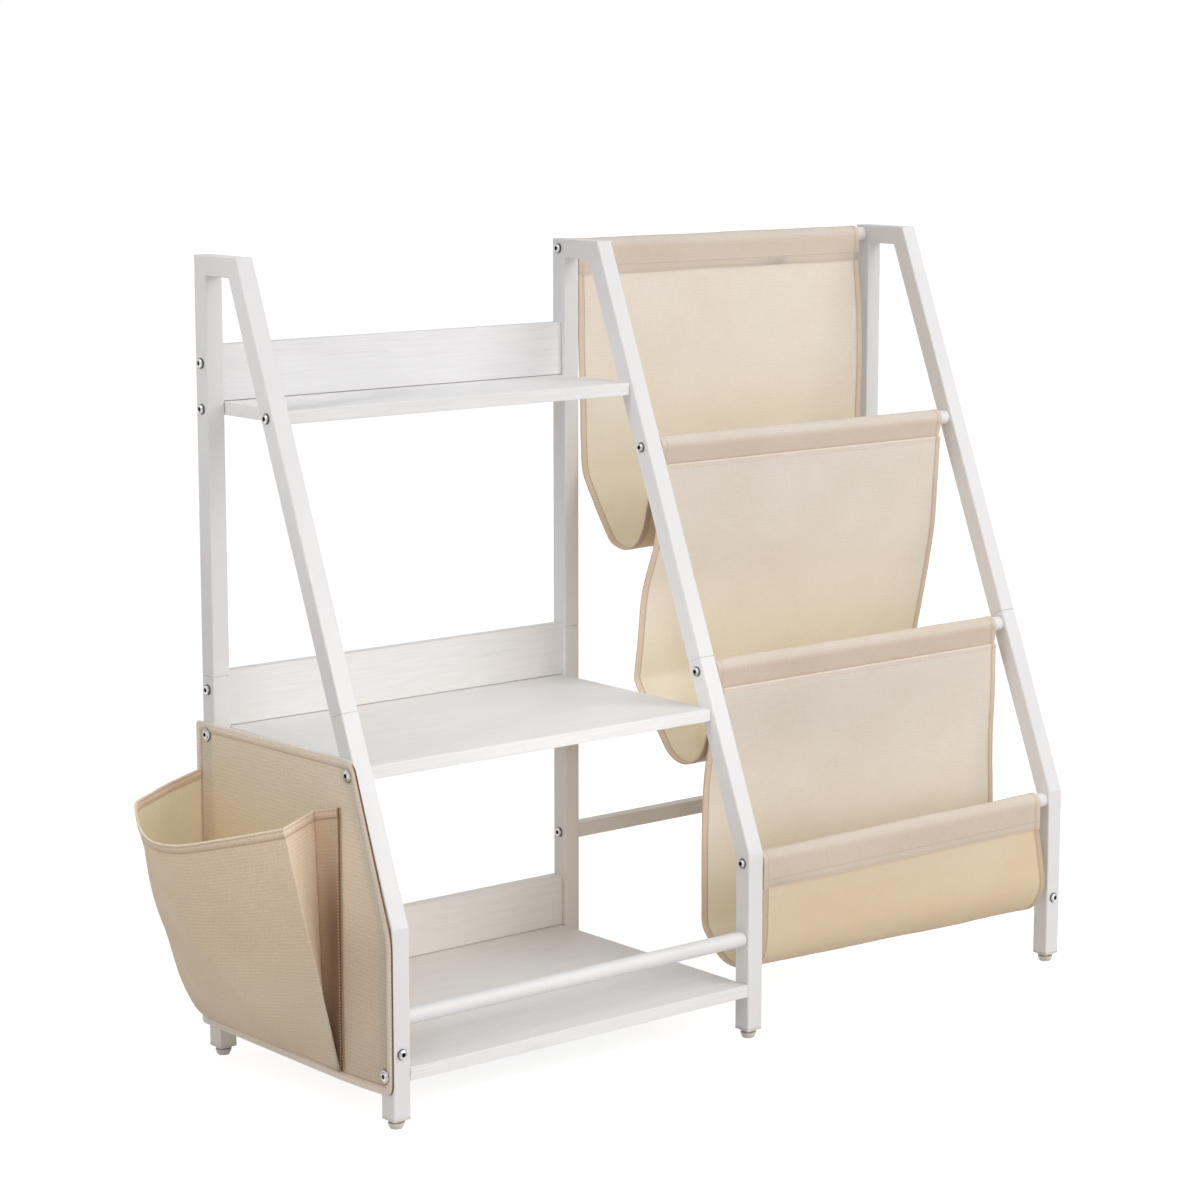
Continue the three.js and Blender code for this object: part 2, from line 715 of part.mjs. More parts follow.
function bag() {
  const columns = bagShares.length;
  const outer = [];
  for (let row = 0; row <= bagRows; row += 1) {
    for (const shares of bagShares) outer.push(bagPoint(shares, row / bagRows));
  }
  const at = (row, column) => outer[
    THREE.MathUtils.clamp(row, 0, bagRows) * columns + THREE.MathUtils.clamp(column, 0, columns - 1)];
  const inner = outer.map((point, i) => {
    const row = Math.floor(i / columns);
    const column = i % columns;
    if (row === 0) {
      const inset = { 0: -cloth, [columns - 1]: cloth }[column] ?? 0;
      return point.clone().add(new THREE.Vector3(0, inset, cloth));
    }
    const along = at(row, column + 1).clone().sub(at(row, column - 1));
    const up = at(row + 1, column).clone().sub(at(row - 1, column));
    const outward = along.cross(up).normalize();
    const moved = point.clone().addScaledVector(outward, -cloth);
    if (column === 0) moved.x = bagWallX;
    return moved;
  });
  for (let row = 0; row <= bagRows; row += 1) outer[row * columns].x = bagWallX;
  const positions = [...outer, ...inner].flatMap((point) => point.toArray());
  const index = [];
  const quad = (a, b, c, d) => index.push(a, c, b, a, d, c);
  const shift = outer.length;
  for (let row = 0; row < bagRows; row += 1) {
    for (let column = 0; column < columns - 1; column += 1) {
      const a = row * columns + column;
      quad(a, a + columns, a + columns + 1, a + 1);
      quad(a + shift, a + 1 + shift, a + columns + 1 + shift, a + columns + shift);
    }
    const first = row * columns;
    const last = first + columns - 1;
    quad(first, first + shift, first + columns + shift, first + columns);
    quad(last, last + columns, last + columns + shift, last + shift);
  }
  const mouth = bagRows * columns;
  for (let column = 0; column < columns - 1; column += 1) {
    quad(column, column + 1, column + 1 + shift, column + shift);
    const a = mouth + column;
    quad(a, a + shift, a + 1 + shift, a + 1);
  }
  const geometry = new THREE.BufferGeometry();
  geometry.setAttribute('position', new THREE.Float32BufferAttribute(positions, 3));
  geometry.setIndex(index);
  return solidOf(geometry);
}

// The whole bookshelf
const bookshelf = new THREE.Group();

sides.forEach((side, i) => {
  const frame = sideFrame(side);
  frame.position.x = i * framePitch;
  bookshelf.add(frame);
});

for (const [name, shelf] of Object.entries(shelves)) bookshelf.add(shelfSet(name, shelf));

const rodLength = rightLeft - middleRight - 2 * gap;
for (const [name, rod] of Object.entries(rods)) {
  const mesh = makeMesh(`sling_rod_${name}`, roundRod(rodLength), white);
  mesh.position.set(middleRight + gap, ...rod.at);
  bookshelf.add(mesh);
}
const railMesh = makeMesh('front_rail', roundRod(middleLeft - innerLeft - 2 * gap), white);
railMesh.position.set(innerLeft + gap, ...rail);
bookshelf.add(railMesh);

function crossbarSolid() {
  const half = crossbarWidth / 2;
  const bore = half - rodWall;
  const outline = [[-half, -half], [half, -half], [half, half], [-half, half]];
  const shape = roundedPolygon(outline.map(([y, z]) => [y, z, tubeCorner]));
  return extrudeAlongX(shape, 0, rodLength)
    .subtract(box(rodEndPlug, rodLength - rodEndPlug, -bore, bore, -bore, bore))
    .subtract(drillAlongX(holeRadius, -tube, rodEndPlug + tube, 0, 0))
    .subtract(drillAlongX(holeRadius, rodLength - rodEndPlug - tube, rodLength + tube, 0, 0))
    .subtract(drillAlongZ(ventRadius, rodEndPlug + ventFromEnd, 0, -half - tube, 0));
}
const crossbarMesh = makeMesh('rear_crossbar', crossbarSolid(), white);
crossbarMesh.position.set(middleRight + gap, ...crossbar);
bookshelf.add(crossbarMesh);

bookshelf.add(
  makeMesh('sling_upper', pocket(rods.top, rods.second, upperPocketDepth, upperPocketShares), canvas),
  makeMesh('sling_middle', pocket(rods.second, rods.third, middlePocketDepth, middlePocketShares), canvas),
  makeMesh('sling_lower', pocket(rods.third, rods.front, lowerPocketDepth, lowerPocketShares), canvas),
  makeMesh('pocket_panel', bagPanel(), bagCanvas),
  makeMesh('pocket_bag', bag(), bagCanvas),
);

// Screws that show: on the left frame, through the bag's panel, and on the middle frame
const panelReach = panelThickness + 2 * gap;
bookshelf.add(
  screwAt('screw_shelf_upper_rear', screwReach, -gap, shelves.upper.rearScrew),
  screwAt('screw_shelf_upper_front', screwReach, -gap, shelves.upper.frontScrew),
  screwAt('screw_backboard_upper', screwReach, -gap, shelves.upper.backScrew),
  screwAt('screw_backboard_middle', screwReach, -gap, shelves.middle.backScrew),
  screwAt('screw_pocket_top_rear', screwReach + panelReach, -panelReach, shelves.middle.rearScrew),
  screwAt('screw_pocket_top_front', screwReach + panelReach, -panelReach, shelves.middle.frontScrew),
  screwAt('screw_pocket_bottom_rear', screwReach + panelReach, -panelReach, shelves.lower.rearScrew),
  screwAt('screw_pocket_bottom_front', screwReach + panelReach, -panelReach, shelves.lower.frontScrew),
  screwAt('screw_crossbar', screwReach, middleLeft - gap, crossbar),
);
for (const [name, rod] of Object.entries(rods)) {
  bookshelf.add(screwAt(`screw_rod_${name}`, screwReach, middleLeft - gap, rod.at));
}

// The origin is under the middle of the whole, at the level it stands on
const extent = new THREE.Box3().setFromObject(bookshelf);
const middle = extent.getCenter(new THREE.Vector3());
bookshelf.position.set(-middle.x, -middle.y, -extent.min.z);

export default bookshelf;
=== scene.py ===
import bpy
import numpy as np
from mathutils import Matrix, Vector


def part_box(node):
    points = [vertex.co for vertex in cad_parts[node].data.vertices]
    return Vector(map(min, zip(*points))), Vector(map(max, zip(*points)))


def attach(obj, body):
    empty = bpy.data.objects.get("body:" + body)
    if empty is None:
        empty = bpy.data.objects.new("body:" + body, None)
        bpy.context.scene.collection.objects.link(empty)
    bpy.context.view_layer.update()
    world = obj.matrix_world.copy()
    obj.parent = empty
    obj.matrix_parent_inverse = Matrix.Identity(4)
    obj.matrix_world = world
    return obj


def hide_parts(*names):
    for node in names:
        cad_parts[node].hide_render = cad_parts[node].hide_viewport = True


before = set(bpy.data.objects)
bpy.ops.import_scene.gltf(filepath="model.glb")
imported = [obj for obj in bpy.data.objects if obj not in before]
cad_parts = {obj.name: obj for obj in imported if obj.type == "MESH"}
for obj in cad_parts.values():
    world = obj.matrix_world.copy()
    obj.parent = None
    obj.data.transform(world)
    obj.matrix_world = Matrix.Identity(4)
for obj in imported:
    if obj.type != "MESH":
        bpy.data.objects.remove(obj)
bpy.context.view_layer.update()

plugDrop = 0.002  # metres that the plugs reach below the legs' lower ends
corner = np.array([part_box("frame_upper_left")[0].x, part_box("front_leg_left")[0].y,
                   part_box("end_plug_front_left")[0].z + plugDrop])


def toScene(points):
    return np.asarray(points, float) / 1000 + corner


def addObject(name, data):
    made = bpy.data.objects.new(name, data)
    bpy.context.scene.collection.objects.link(made)
    return made


view = {"place": (-1697.3, -2354.2, 989.0), "turn": -0.6915, "tilt": 9.59, "lens": 96.26,
        "sensor": 36, "far": 60}
cameraData = bpy.data.cameras.new("camera")
cameraData.lens, cameraData.sensor_width = view["lens"], view["sensor"]
cameraData.clip_end = view["far"]
camera = addObject("camera", cameraData)
camera.location = toScene(view["place"])
camera.rotation_euler = (np.radians(90 - view["tilt"]), 0, view["turn"])
bpy.context.scene.camera = camera
bpy.context.scene.view_settings.view_transform = "Standard"


class Wire:  # a shader socket that works in Python expressions
    def __init__(self, tree, socket=None):
        self.tree, self.socket = tree, socket

    def add(self, kind, settings=None, inputs=None, output=0):
        made = self.tree.nodes.new("ShaderNode" + kind)
        for name, value in (settings or {}).items():
            setattr(made, name, value)
        for name, value in (inputs or {}).items():
            if isinstance(value, Wire):
                self.tree.links.new(value.socket, made.inputs[name])
            else:
                made.inputs[name].default_value = value
        return Wire(self.tree, made.outputs[output])

    def calc(self, operation, *values):
        return self.add("Math", {"operation": operation}, dict(enumerate(values)))

    def blend(self, low, high, mode="MIX"):  # mixes two colours by this value
        return self.add("Mix", {"data_type": "RGBA", "blend_type": mode},
                        {0: self, 6: low, 7: high}, 2)

    def band(self, low, high):  # 0 below low, 1 above high, smooth between
        return self.add("MapRange", {"interpolation_type": "SMOOTHSTEP"},
                        {"Value": self, "From Min": low, "From Max": high})

    def parts(self):  # the x, y and z of these coordinates
        node = self.add("SeparateXYZ", None, {0: self}).socket.node
        return [Wire(self.tree, part) for part in node.outputs]

    def noise(self, scale, detail, settings=None, **inputs):
        # a noise over these coordinates, which three scales stretch first
        place = self
        if isinstance(scale, tuple):
            place, scale = self.add("Mapping", None, {"Vector": self, "Scale": scale}), 1.0
        return self.add("TexNoise", settings,
                        {"Vector": place, "Scale": scale, "Detail": detail, **inputs})

    def relief(self, strength, distance):  # the normal that this height gives
        return self.add("Bump", None,
                        {"Height": self, "Strength": strength, "Distance": distance})

    def mark(self, name):  # a value that the piece carries at each point
        return self.add("Attribute", {"attribute_name": name}, output=2)

    def __add__(self, other): return self.calc("ADD", self, other)
    def __sub__(self, other): return self.calc("SUBTRACT", self, other)
    def __rsub__(self, other): return self.calc("SUBTRACT", other, self)
    def __mul__(self, other): return self.calc("MULTIPLY", self, other)


def tone(red, green, blue):  # a colour as a screen shows it, 0 to 255, in the shader's terms
    c = np.array([red, green, blue]) / 255
    return (*np.where(c < 0.04045, c / 12.92, ((c + 0.055) / 1.055) ** 2.4), 1.0)


def startMaterial(name, **constants):  # a Principled shader with its fixed values
    material = bpy.data.materials.new(name)
    material.use_nodes = True
    shader = material.node_tree.nodes["Principled BSDF"]
    for socket, value in constants.items():
        shader.inputs[socket.replace("_", " ")].default_value = value
    return material, shader, Wire(material.node_tree)


def feed(shader, **wires):  # links a wire to each socket that is named
    for socket, wire in wires.items():
        wire.tree.links.new(wire.socket, shader.inputs[socket.replace("_", " ")])


def bounceTint(place, colour, look):
    # the warm light that cloth and floor throw on white parts low at the rear: a multiply
    # that grows with object y and fades with object z
    _, y, z = place.parts()
    share = y.band(*look["tintDepth"]) * (1 - z.band(*look["tintHeight"]))
    return share.blend(colour, look["tint"], "MULTIPLY")


def powderCoat(name, look):
    # colour: two whites by a broad noise, with painted warm bounce light low at the rear;
    # bump: a fine noise, the coat's orange peel
    material, shader, wire = startMaterial(name, Roughness=look["roughness"])
    place = wire.add("TexCoord", output=3)
    broad, peel = place.noise(9.0, 3.0), place.noise(look["peelScale"], 2.0)
    white = broad.band(0.35, 0.65).blend(look["shade"], look["light"])
    feed(shader, Base_Color=bounceTint(place, white, look),
         Roughness=peel * 0.12 + (look["roughness"] - 0.06),
         Normal=peel.relief(look["peel"], 0.0004))
    return material


coatLook = {
    "light": tone(235, 234, 234), "shade": tone(231, 230, 230), "roughness": 0.42,
    "peelScale": 700.0, "peel": 0.12, "tint": tone(251, 245, 235), "tintDepth": (0.05, 0.15),
    "tintHeight": (0.2, 0.34)}
coat = powderCoat("powderCoat", coatLook)


def boardFinish(name, look):
    # fibres: a fine noise drawn out along x; pores: a coarser one, only its peaks, thinned out
    # by a broad noise; colour: both darken the white, with painted warm bounce light low at
    # the rear; bump: both
    material, shader, wire = startMaterial(name, Roughness=look["roughness"])
    place = wire.add("TexCoord", output=3)
    fibre, pore, broad = (
        place.noise(look[scale], detail, Roughness=0.6, Distortion=0.2)
        for scale, detail in (("fibreScale", 3.0), ("poreScale", 4.0), ("broadScale", 1.0)))
    fibre, pore = fibre.band(0.34, 0.66), pore.band(0.57, 0.72) * broad.band(0.35, 0.65)
    white = fibre.blend(look["light"], look["fibre"])
    feed(shader, Base_Color=bounceTint(place, pore.blend(white, look["pore"]), look),
         Roughness=fibre * 0.12 + (look["roughness"] - 0.06),
         Normal=(1 - pore - fibre * 0.3).relief(look["relief"], 0.0003))
    return material


boardLook = {
    "light": tone(244, 243, 243), "fibre": tone(238, 237, 237), "pore": tone(233, 232, 231),
    "roughness": 0.55, "relief": 0.12, "fibreScale": (16.0, 700.0, 700.0),
    "poreScale": (22.0, 420.0, 420.0), "broadScale": (3.0, 26.0, 26.0),
    "tint": tone(254, 251, 246), "tintDepth": (-0.06, 0.1), "tintHeight": (0.2, 0.5)}
boardCoat = boardFinish("boardCoat", boardLook)


def wovenCloth(name, look):
    # weave: rounded threads both ways, which of them lies on top changes like a chess board;
    # slubs: a noise drawn out along each thread; ribs: a sine down the cloth, broken up by a
    # noise; colour: from high to low by a mark of painted glow, the light that shines through
    # and bounces deep in a pocket, then towards the hem's, multiplied by clouds, by a mark of
    # painted shade, by the seam mark, and by the gaps, which fade where the glow is painted
    material, shader, wire = startMaterial(
        name, Roughness=look["roughness"], Specular_IOR_Level=0.25,
        Subsurface_Weight=look["through"], Subsurface_Radius=(1.0, 1.0, 1.0),
        Subsurface_Scale=look["depth"])
    uv = wire.add("UVMap", {"uv_map": "cloth"})
    u, v = (way * (np.pi / look["pitch"]) for way in uv.parts()[:2])
    warp, weft = u.calc("SINE", u), v.calc("SINE", v)
    top = (warp * weft * 3.0).band(-1.0, 1.0)
    weave = top * warp.calc("ABSOLUTE", warp) + (1 - top) * weft.calc("ABSOLUTE", weft)

    def noise(across, down, detail):
        return uv.noise((across, down, 1.0), detail, {"noise_dimensions": "2D"})

    slub = noise(*look["slub"], 2.0) + noise(*look["slub"][::-1], 2.0) - 1.0
    grain = noise(600.0, 800.0, 1.0) - 0.5
    rib = v * (look["pitch"] / look["ribPitch"]) + noise(60.0, 160.0, 2.0) * 5.0
    rib = rib.calc("SINE", rib)
    thread = (weave * 0.5 + slub * look["slubShare"] + grain * look["grainShare"] +
              rib * look["ribShare"] + 0.2).band(0.0, 1.0)
    deep = wire.mark("deep")
    colour = wire.mark("hem").blend(deep.blend(look["high"], look["low"]), look["hem"])
    shares = {"cloud": noise(9.0, 13.0, 2.0).band(0.3, 0.7) * look["cloudShare"],
              "paintedShade": wire.mark("paintedShade"), "seam": wire.mark("seam"),
              "gap": (1 - thread) * (1 - deep * 0.4) * look["gapShare"]}
    for shade, share in shares.items():
        colour = share.blend(colour, look[shade], "MULTIPLY")
    feed(shader, Base_Color=colour,
         Normal=(weave * 0.5 + slub * 0.25 + grain * 0.3).relief(look["relief"], 0.0004))
    return material


# low is a painted glow, lighter and warmer deep in a pocket; the multiply after cloud is painted
# shade
slingLook = {
    "high": tone(245, 233, 222), "low": tone(251, 238, 214), "hem": tone(232, 216, 199),
    "cloud": tone(247, 244, 240), "cloudShare": 0.4, "paintedShade": tone(217, 204, 190),
    "seam": tone(218, 205, 192), "gap": tone(205, 191, 174), "gapShare": 0.3, "pitch": 0.0011,
    "slub": (70.0, 800.0), "slubShare": 0.4, "grainShare": 0.5, "ribPitch": 0.0019,
    "ribShare": 0.05, "roughness": 0.9, "relief": 0.3, "through": 0.8, "depth": 0.003}
slingCloth = wovenCloth("slingCloth", slingLook)
# on the bag, low is the painted glow inside it, and the dark brown multiply is painted shade in the
# pleat and along the seams
bagLook = {**slingLook, "high": tone(242, 220, 197), "low": tone(255, 234, 202),
           "hem": tone(248, 228, 208), "paintedShade": tone(116, 88, 58), "seam": tone(184, 165, 147),
           "gapShare": 0.45, "grainShare": 1.4, "ribShare": 0.13, "ribPitch": 0.002,
           "depth": 0.005}
bagCloth = wovenCloth("bagCloth", bagLook)
panelCloth = wovenCloth("panelCloth", {**bagLook, "high": tone(246, 232, 213),
                                       "low": tone(252, 236, 206), "hem": tone(255, 242, 229)})


def sewingThread(name, dark, light):
    # plies: a sine along the thread's own slant, from its object coordinates
    material, shader, wire = startMaterial(name, Roughness=0.8)
    place = wire.add("TexCoord", output=3)
    ply = wire.add("TexWave", {"bands_direction": "DIAGONAL"}, {"Vector": place, "Scale": 900.0})
    feed(shader, Base_Color=ply.blend(dark, light))
    return material


thread = sewingThread("paleThread", tone(222, 205, 184), tone(246, 236, 222))
darkThread = sewingThread("darkThread", tone(186, 164, 138), tone(220, 202, 178))


def platedSteel(name, look):
    # colour: two greys by a small noise, blotches that paint in darker reflections, then
    # towards a painted shade in a screw's socket and round a rim, by a mark; roughness: the
    # noise, the plating's haze, and more where that shade is painted
    material, shader, wire = startMaterial(name, Metallic=1.0)
    haze, deep = wire.add("TexCoord", output=3).noise(260.0, 4.0), wire.mark("deep")
    platingAndReflections = haze.band(0.35, 0.7).blend(look["light"], look["shade"])
    feed(shader, Base_Color=deep.blend(platingAndReflections, look["dark"]), Normal=haze.relief(0.06, 0.0002),
         Roughness=haze * 0.2 + deep * 0.3 + look["roughness"])
    return material


# dark: the colour of the painted shade in sockets and round rims
steelLook = {
    "light": tone(224, 223, 222), "shade": tone(172, 171, 170), "dark": tone(30, 29, 29),
    "roughness": 0.12}
screwSteel = platedSteel("screwSteel", steelLook)
# a dark steel that paints the shade inside the crossbar's vent hole
paintedHoleShadeSteel = platedSteel("paintedHoleShadeSteel", {**steelLook, "light": tone(70, 70, 72),
                                          "shade": tone(40, 40, 42), "roughness": 0.4})
grommetMetal = platedSteel("grommetMetal", {**steelLook, "light": tone(204, 201, 196),
                                            "shade": tone(160, 157, 152), "roughness": 0.16})


def mouldedPlastic(name, look):
    # colour: two tones by a broad noise; bump: a fine spark-eroded grain
    material, shader, wire = startMaterial(name, Roughness=look["roughness"])
    place = wire.add("TexCoord", output=3)
    grain = place.noise(1800.0, 2.0)
    feed(shader, Base_Color=place.noise(60.0, 2.0).blend(look["light"], look["dark"]),
         Roughness=grain * 0.15 + (look["roughness"] - 0.07), Normal=grain.relief(0.15, 0.0002))
    return material


footPlastic = mouldedPlastic("footPlastic", {"light": tone(226, 220, 212),
                                             "dark": tone(214, 207, 198), "roughness": 0.5})
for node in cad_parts.values():
    node.data.materials.clear()
    node.data.materials.append(screwSteel)
print("materials ready")


# Shapes: a shape is its points and a list of face arrays, each with one count of corners
def unit(vectors):  # each vector at length 1
    return vectors / np.maximum(np.linalg.norm(vectors, axis=-1, keepdims=True), 1e-9)


def spans(line):  # the length of each of a line's steps
    return np.linalg.norm(np.diff(line, axis=0), axis=1)


def summed(steps):  # the way from a line's start to each of its points
    return np.concatenate([[0], np.cumsum(steps)])


def circle(count):
    return np.linspace(0, 2 * np.pi, count, endpoint=False)


def gather(*shapes):
    points, faces, start = [], [], 0
    for shapePoints, shapeFaces in shapes:
        points.append(shapePoints.reshape(-1, 3))
        faces += [array + start for array in shapeFaces]
        start += len(points[-1])
    return np.concatenate(points), faces


def quadsOf(rows, columns, rowsClosed=False, columnsClosed=False):
    row, column = np.meshgrid(np.arange(rows - (not rowsClosed)),
                              np.arange(columns - (not columnsClosed)), indexing="ij")
    nextRow, nextColumn = (row + 1) % rows, (column + 1) % columns
    corners = (row * columns + column, row * columns + nextColumn,
               nextRow * columns + nextColumn, nextRow * columns + column)
    return np.stack(corners, -1).reshape(-1, 4)


def ringShape(rings):
    # skin over closed rings of points, with a face over each end
    rows, count = rings.shape[:2]
    first = np.arange(count)[None]
    faces = [quadsOf(rows, count, columnsClosed=True), first[:, ::-1], first + (rows - 1) * count]
    return outward(rings.reshape(-1, 3), faces)


def shellShape(upper, lower):
    # two grids of points, one over the other, closed round their four edges
    rows, columns = upper.shape[:2]
    size = rows * columns
    index = np.arange(size).reshape(rows, columns)
    faces = [quadsOf(rows, columns), quadsOf(rows, columns)[:, ::-1] + size]
    for edge in (index[0, ::-1], index[-1], index[:, 0], index[::-1, -1]):
        a, b = edge[:-1], edge[1:]
        faces.append(np.stack([a + size, b + size, b, a], -1))
    return outward(np.concatenate([upper.reshape(-1, 3), lower.reshape(-1, 3)]), faces)


def outward(points, faces):
    # turns every face round if the volume, summed over the faces, comes out negative
    volume = 0
    for array in faces:
        for k in range(1, array.shape[1] - 1):
            a, b, c = points[array[:, 0]], points[array[:, k]], points[array[:, k + 1]]
            volume += np.sum(np.cross(a, b) * c)
    return points, faces if volume > 0 else [array[:, ::-1] for array in faces]


def addPiece(name, shape, material, standsFor=(), body="bookshelf", uv=None, marks=None,
             sharp=30):
    points, faces = shape
    loops = np.concatenate([array.ravel() for array in faces])
    sizes = np.concatenate([np.full(len(array), array.shape[1]) for array in faces])
    mesh = bpy.data.meshes.new(name)
    mesh.vertices.add(len(points))
    mesh.vertices.foreach_set("co", toScene(points).ravel())
    mesh.loops.add(len(loops))
    mesh.loops.foreach_set("vertex_index", loops)
    mesh.polygons.add(len(sizes))
    mesh.polygons.foreach_set("loop_start", np.concatenate([[0], np.cumsum(sizes)[:-1]]))
    mesh.update(calc_edges=True)
    mesh.polygons.foreach_set("use_smooth", np.ones(len(sizes), bool))
    mesh.set_sharp_from_angle(angle=np.radians(sharp))
    if uv is not None:
        layer = mesh.uv_layers.new(name="cloth")
        layer.data.foreach_set("uv", uv.reshape(-1, 2)[loops].ravel())
    for mark, values in (marks or {}).items():
        layer = mesh.attributes.new(mark, "FLOAT", "POINT")
        layer.data.foreach_set("value", values.ravel())
    mesh.materials.append(material)
    piece = addObject(name, mesh)
    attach(piece, body)
    if standsFor:
        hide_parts(*standsFor)
    return piece


def roundedSection(width, height, radius, inset=0.0, steps=5, guard=0.5):
    # a rectangle with arcs for corners; a point beside each arc keeps the flats flat in the
    # shading. inset draws the whole outline in.
    reach = radius - inset
    angle = np.linspace(0, np.pi / 2, steps + 1)
    arc = np.stack([np.cos(angle), np.sin(angle)], 1) * reach
    arc = np.vstack([[reach, -guard], arc, [-guard, reach]])
    points = []
    for k, (sx, sy) in enumerate(((1, 1), (-1, 1), (-1, -1), (1, -1))):
        turned = arc @ np.linalg.matrix_power(np.array([[0, 1], [-1, 0]]), k)
        points.append(turned + [sx * (width / 2 - radius), sy * (height / 2 - radius)])
    return np.concatenate(points)


# Side frames
tube = {"width": 20.0, "radius": 1.6, "chamfer": 0.35, "gap": 0.3}
frames = {
    "pitch": 449.0, "height": 800.0, "depth": 318.0, "topBar": 74.0, "knee": 187.0,
    "rearSplit": 383.0, "slantSplit": 377.5, "legEnd": 2.3}
lean = (frames["depth"] - frames["topBar"]) / (frames["height"] - frames["knee"])
slope = np.arctan(lean)


def legY(z, across=10.0):  # y on the front leg at a height, across behind its front edge
    knee = frames["knee"] + across * (1 - 1 / np.cos(slope)) / lean
    return (z - frames["knee"]) * lean + across / np.cos(slope) if z > knee else across


def squareTube(line, x):
    # the rounded square carried along a line in y and z: every ring lies in the plane that
    # halves the bend there, and is drawn in by the chamfer at both ends
    line = np.array(line, float)
    step = unit(np.diff(line, axis=0))
    before, after = np.vstack([step[:1], step]), np.vstack([step, step[-1:]])
    along = unit(before + after)
    across = np.stack([along[:, 1], -along[:, 0]], 1) / np.sum(along * before, 1)[:, None]
    line = np.vstack([line[0], line[0] + step[0] * tube["chamfer"], line[1:-1],
                      line[-1] - step[-1] * tube["chamfer"], line[-1]])
    across = np.vstack([across[0], across[0], across[1:-1], across[-1], across[-1]])
    full, drawn = (roundedSection(tube["width"], tube["width"], tube["radius"], inset)
                   for inset in (0.0, tube["chamfer"]))
    rings = []
    for k, (place, way) in enumerate(zip(line, across)):
        section = drawn if k in (0, len(line) - 1) else full
        rings.append(np.column_stack([x + section[:, 0], place + section[:, 1:] * way]))
    return ringShape(np.array(rings))


half = tube["width"] / 2
rearY = frames["depth"] - half
topZ = frames["height"] - half
kneeZ = frames["knee"] + half * (1 - 1 / np.cos(slope)) / lean
rearGap = tube["gap"] / 2
slantGap = np.array([np.sin(slope), np.cos(slope)]) * rearGap
cut = np.array([legY(frames["slantSplit"]), frames["slantSplit"]])
tubeLines = {
    "upper_tube": ("frame_upper", [[rearY, frames["rearSplit"] + rearGap], [rearY, topZ],
                                   [legY(topZ), topZ], cut + slantGap]),
    "front_leg_tube": ("front_leg", [cut - slantGap, [half, kneeZ], [half, frames["legEnd"]]]),
    "rear_leg_tube": ("rear_leg", [[rearY, frames["rearSplit"] - rearGap],
                                   [rearY, frames["legEnd"]]])}
for side, name in enumerate(("left", "middle", "right")):
    for piece, (solid, line) in tubeLines.items():
        addPiece(f"{piece}_{name}", squareTube(line, side * frames["pitch"] + half), coat,
                 [f"{solid}_{name}"], sharp=20)
print("side frames ready")


def roundedBar(low, high, radius, axis=0):
    # a rounded rectangle carried along one axis, drawn in at both ends by most of its radius
    low, high = np.array(low, float), np.array(high, float)
    order = [axis, (axis + 1) % 3, (axis + 2) % 3]
    size, middle = (high - low)[order], ((high + low) / 2)[order]
    turn = np.linspace(0, np.pi / 2, 4)
    drawn = radius * 0.8 * (1 - np.stack([np.sin(turn), np.cos(turn)], 1))
    rings = []
    for end, pairs in ((-1, drawn), (1, drawn[::-1])):
        for inset, move in pairs:
            section = roundedSection(size[1], size[2], radius, inset) + middle[1:]
            place = middle[0] + end * (size[0] / 2 - move)
            rings.append(np.column_stack([np.full(len(section), place), section]))
    return ringShape(np.array(rings)[..., np.argsort(order)])


boards = {
    "thickness": 13.0, "edge": 0.7, "joint": 0.6, "rear": 316.0, "left": 20.3, "right": 448.7,
    "backHeight": 56.0,
    # each shelf's top and front edge
    "shelves": {"upper": (656.0, 189.2), "middle": (330.5, 59.6), "lower": (50.5, 0.0)}}
left, right, rear, thick = (boards[key] for key in ("left", "right", "rear", "thickness"))
for name, (top, front) in boards["shelves"].items():
    addPiece(f"shelf_board_{name}", roundedBar((left, front, top - thick), (right, rear, top),
                                               boards["edge"]), boardCoat,
             [f"shelf_{name}"])
    addPiece(f"back_board_{name}", roundedBar(
        (left, rear - thick, top + boards["joint"]), (right, rear, top + boards["backHeight"]),
        boards["edge"] / 2), boardCoat, [f"backboard_{name}"])
print("boards ready")


def around(radius, height, count=48):  # rings of points round the z axis
    angle = circle(count)
    rings = radius * np.cos(angle), radius * np.sin(angle), height
    return np.stack(np.broadcast_arrays(*rings), -1)


def lathe(profile, count=48):  # a ring for each (radius, height) of the profile
    return around(*np.array(profile, float).T[..., None], count)


def turned(points, outwardAxis):
    # the z axis turned to x, -x or -y
    spin = {"x": ((0, 0, 1), (0, 1, 0), (-1, 0, 0)), "-x": ((0, 0, -1), (0, 1, 0), (1, 0, 0)),
            "-y": ((1, 0, 0), (0, 0, -1), (0, 1, 0))}[outwardAxis]
    return points @ np.array(spin, float).T


rods = {
    "radius": 8.0, "chamfer": 0.6, "left": 469.3, "right": 897.7,
    "places": {"top": (308.0, 790.0), "second": (legY(590.0), 590.0),
               "third": (legY(366.0), 366.0), "front": (10.0, 177.0)}}


def roundBar(x0, x1, y, z):
    r, c = rods["radius"], rods["chamfer"]
    near = np.array([[r - c - 3, 0], [r - c, 0], [r - c / 3, c / 3], [r, c], [r, c + 0.5]])
    far = [0, x1 - x0] + near[::-1] * [1, -1]
    return ringShape(turned(lathe(np.vstack([near, far])), "x") + [x0, y, z])


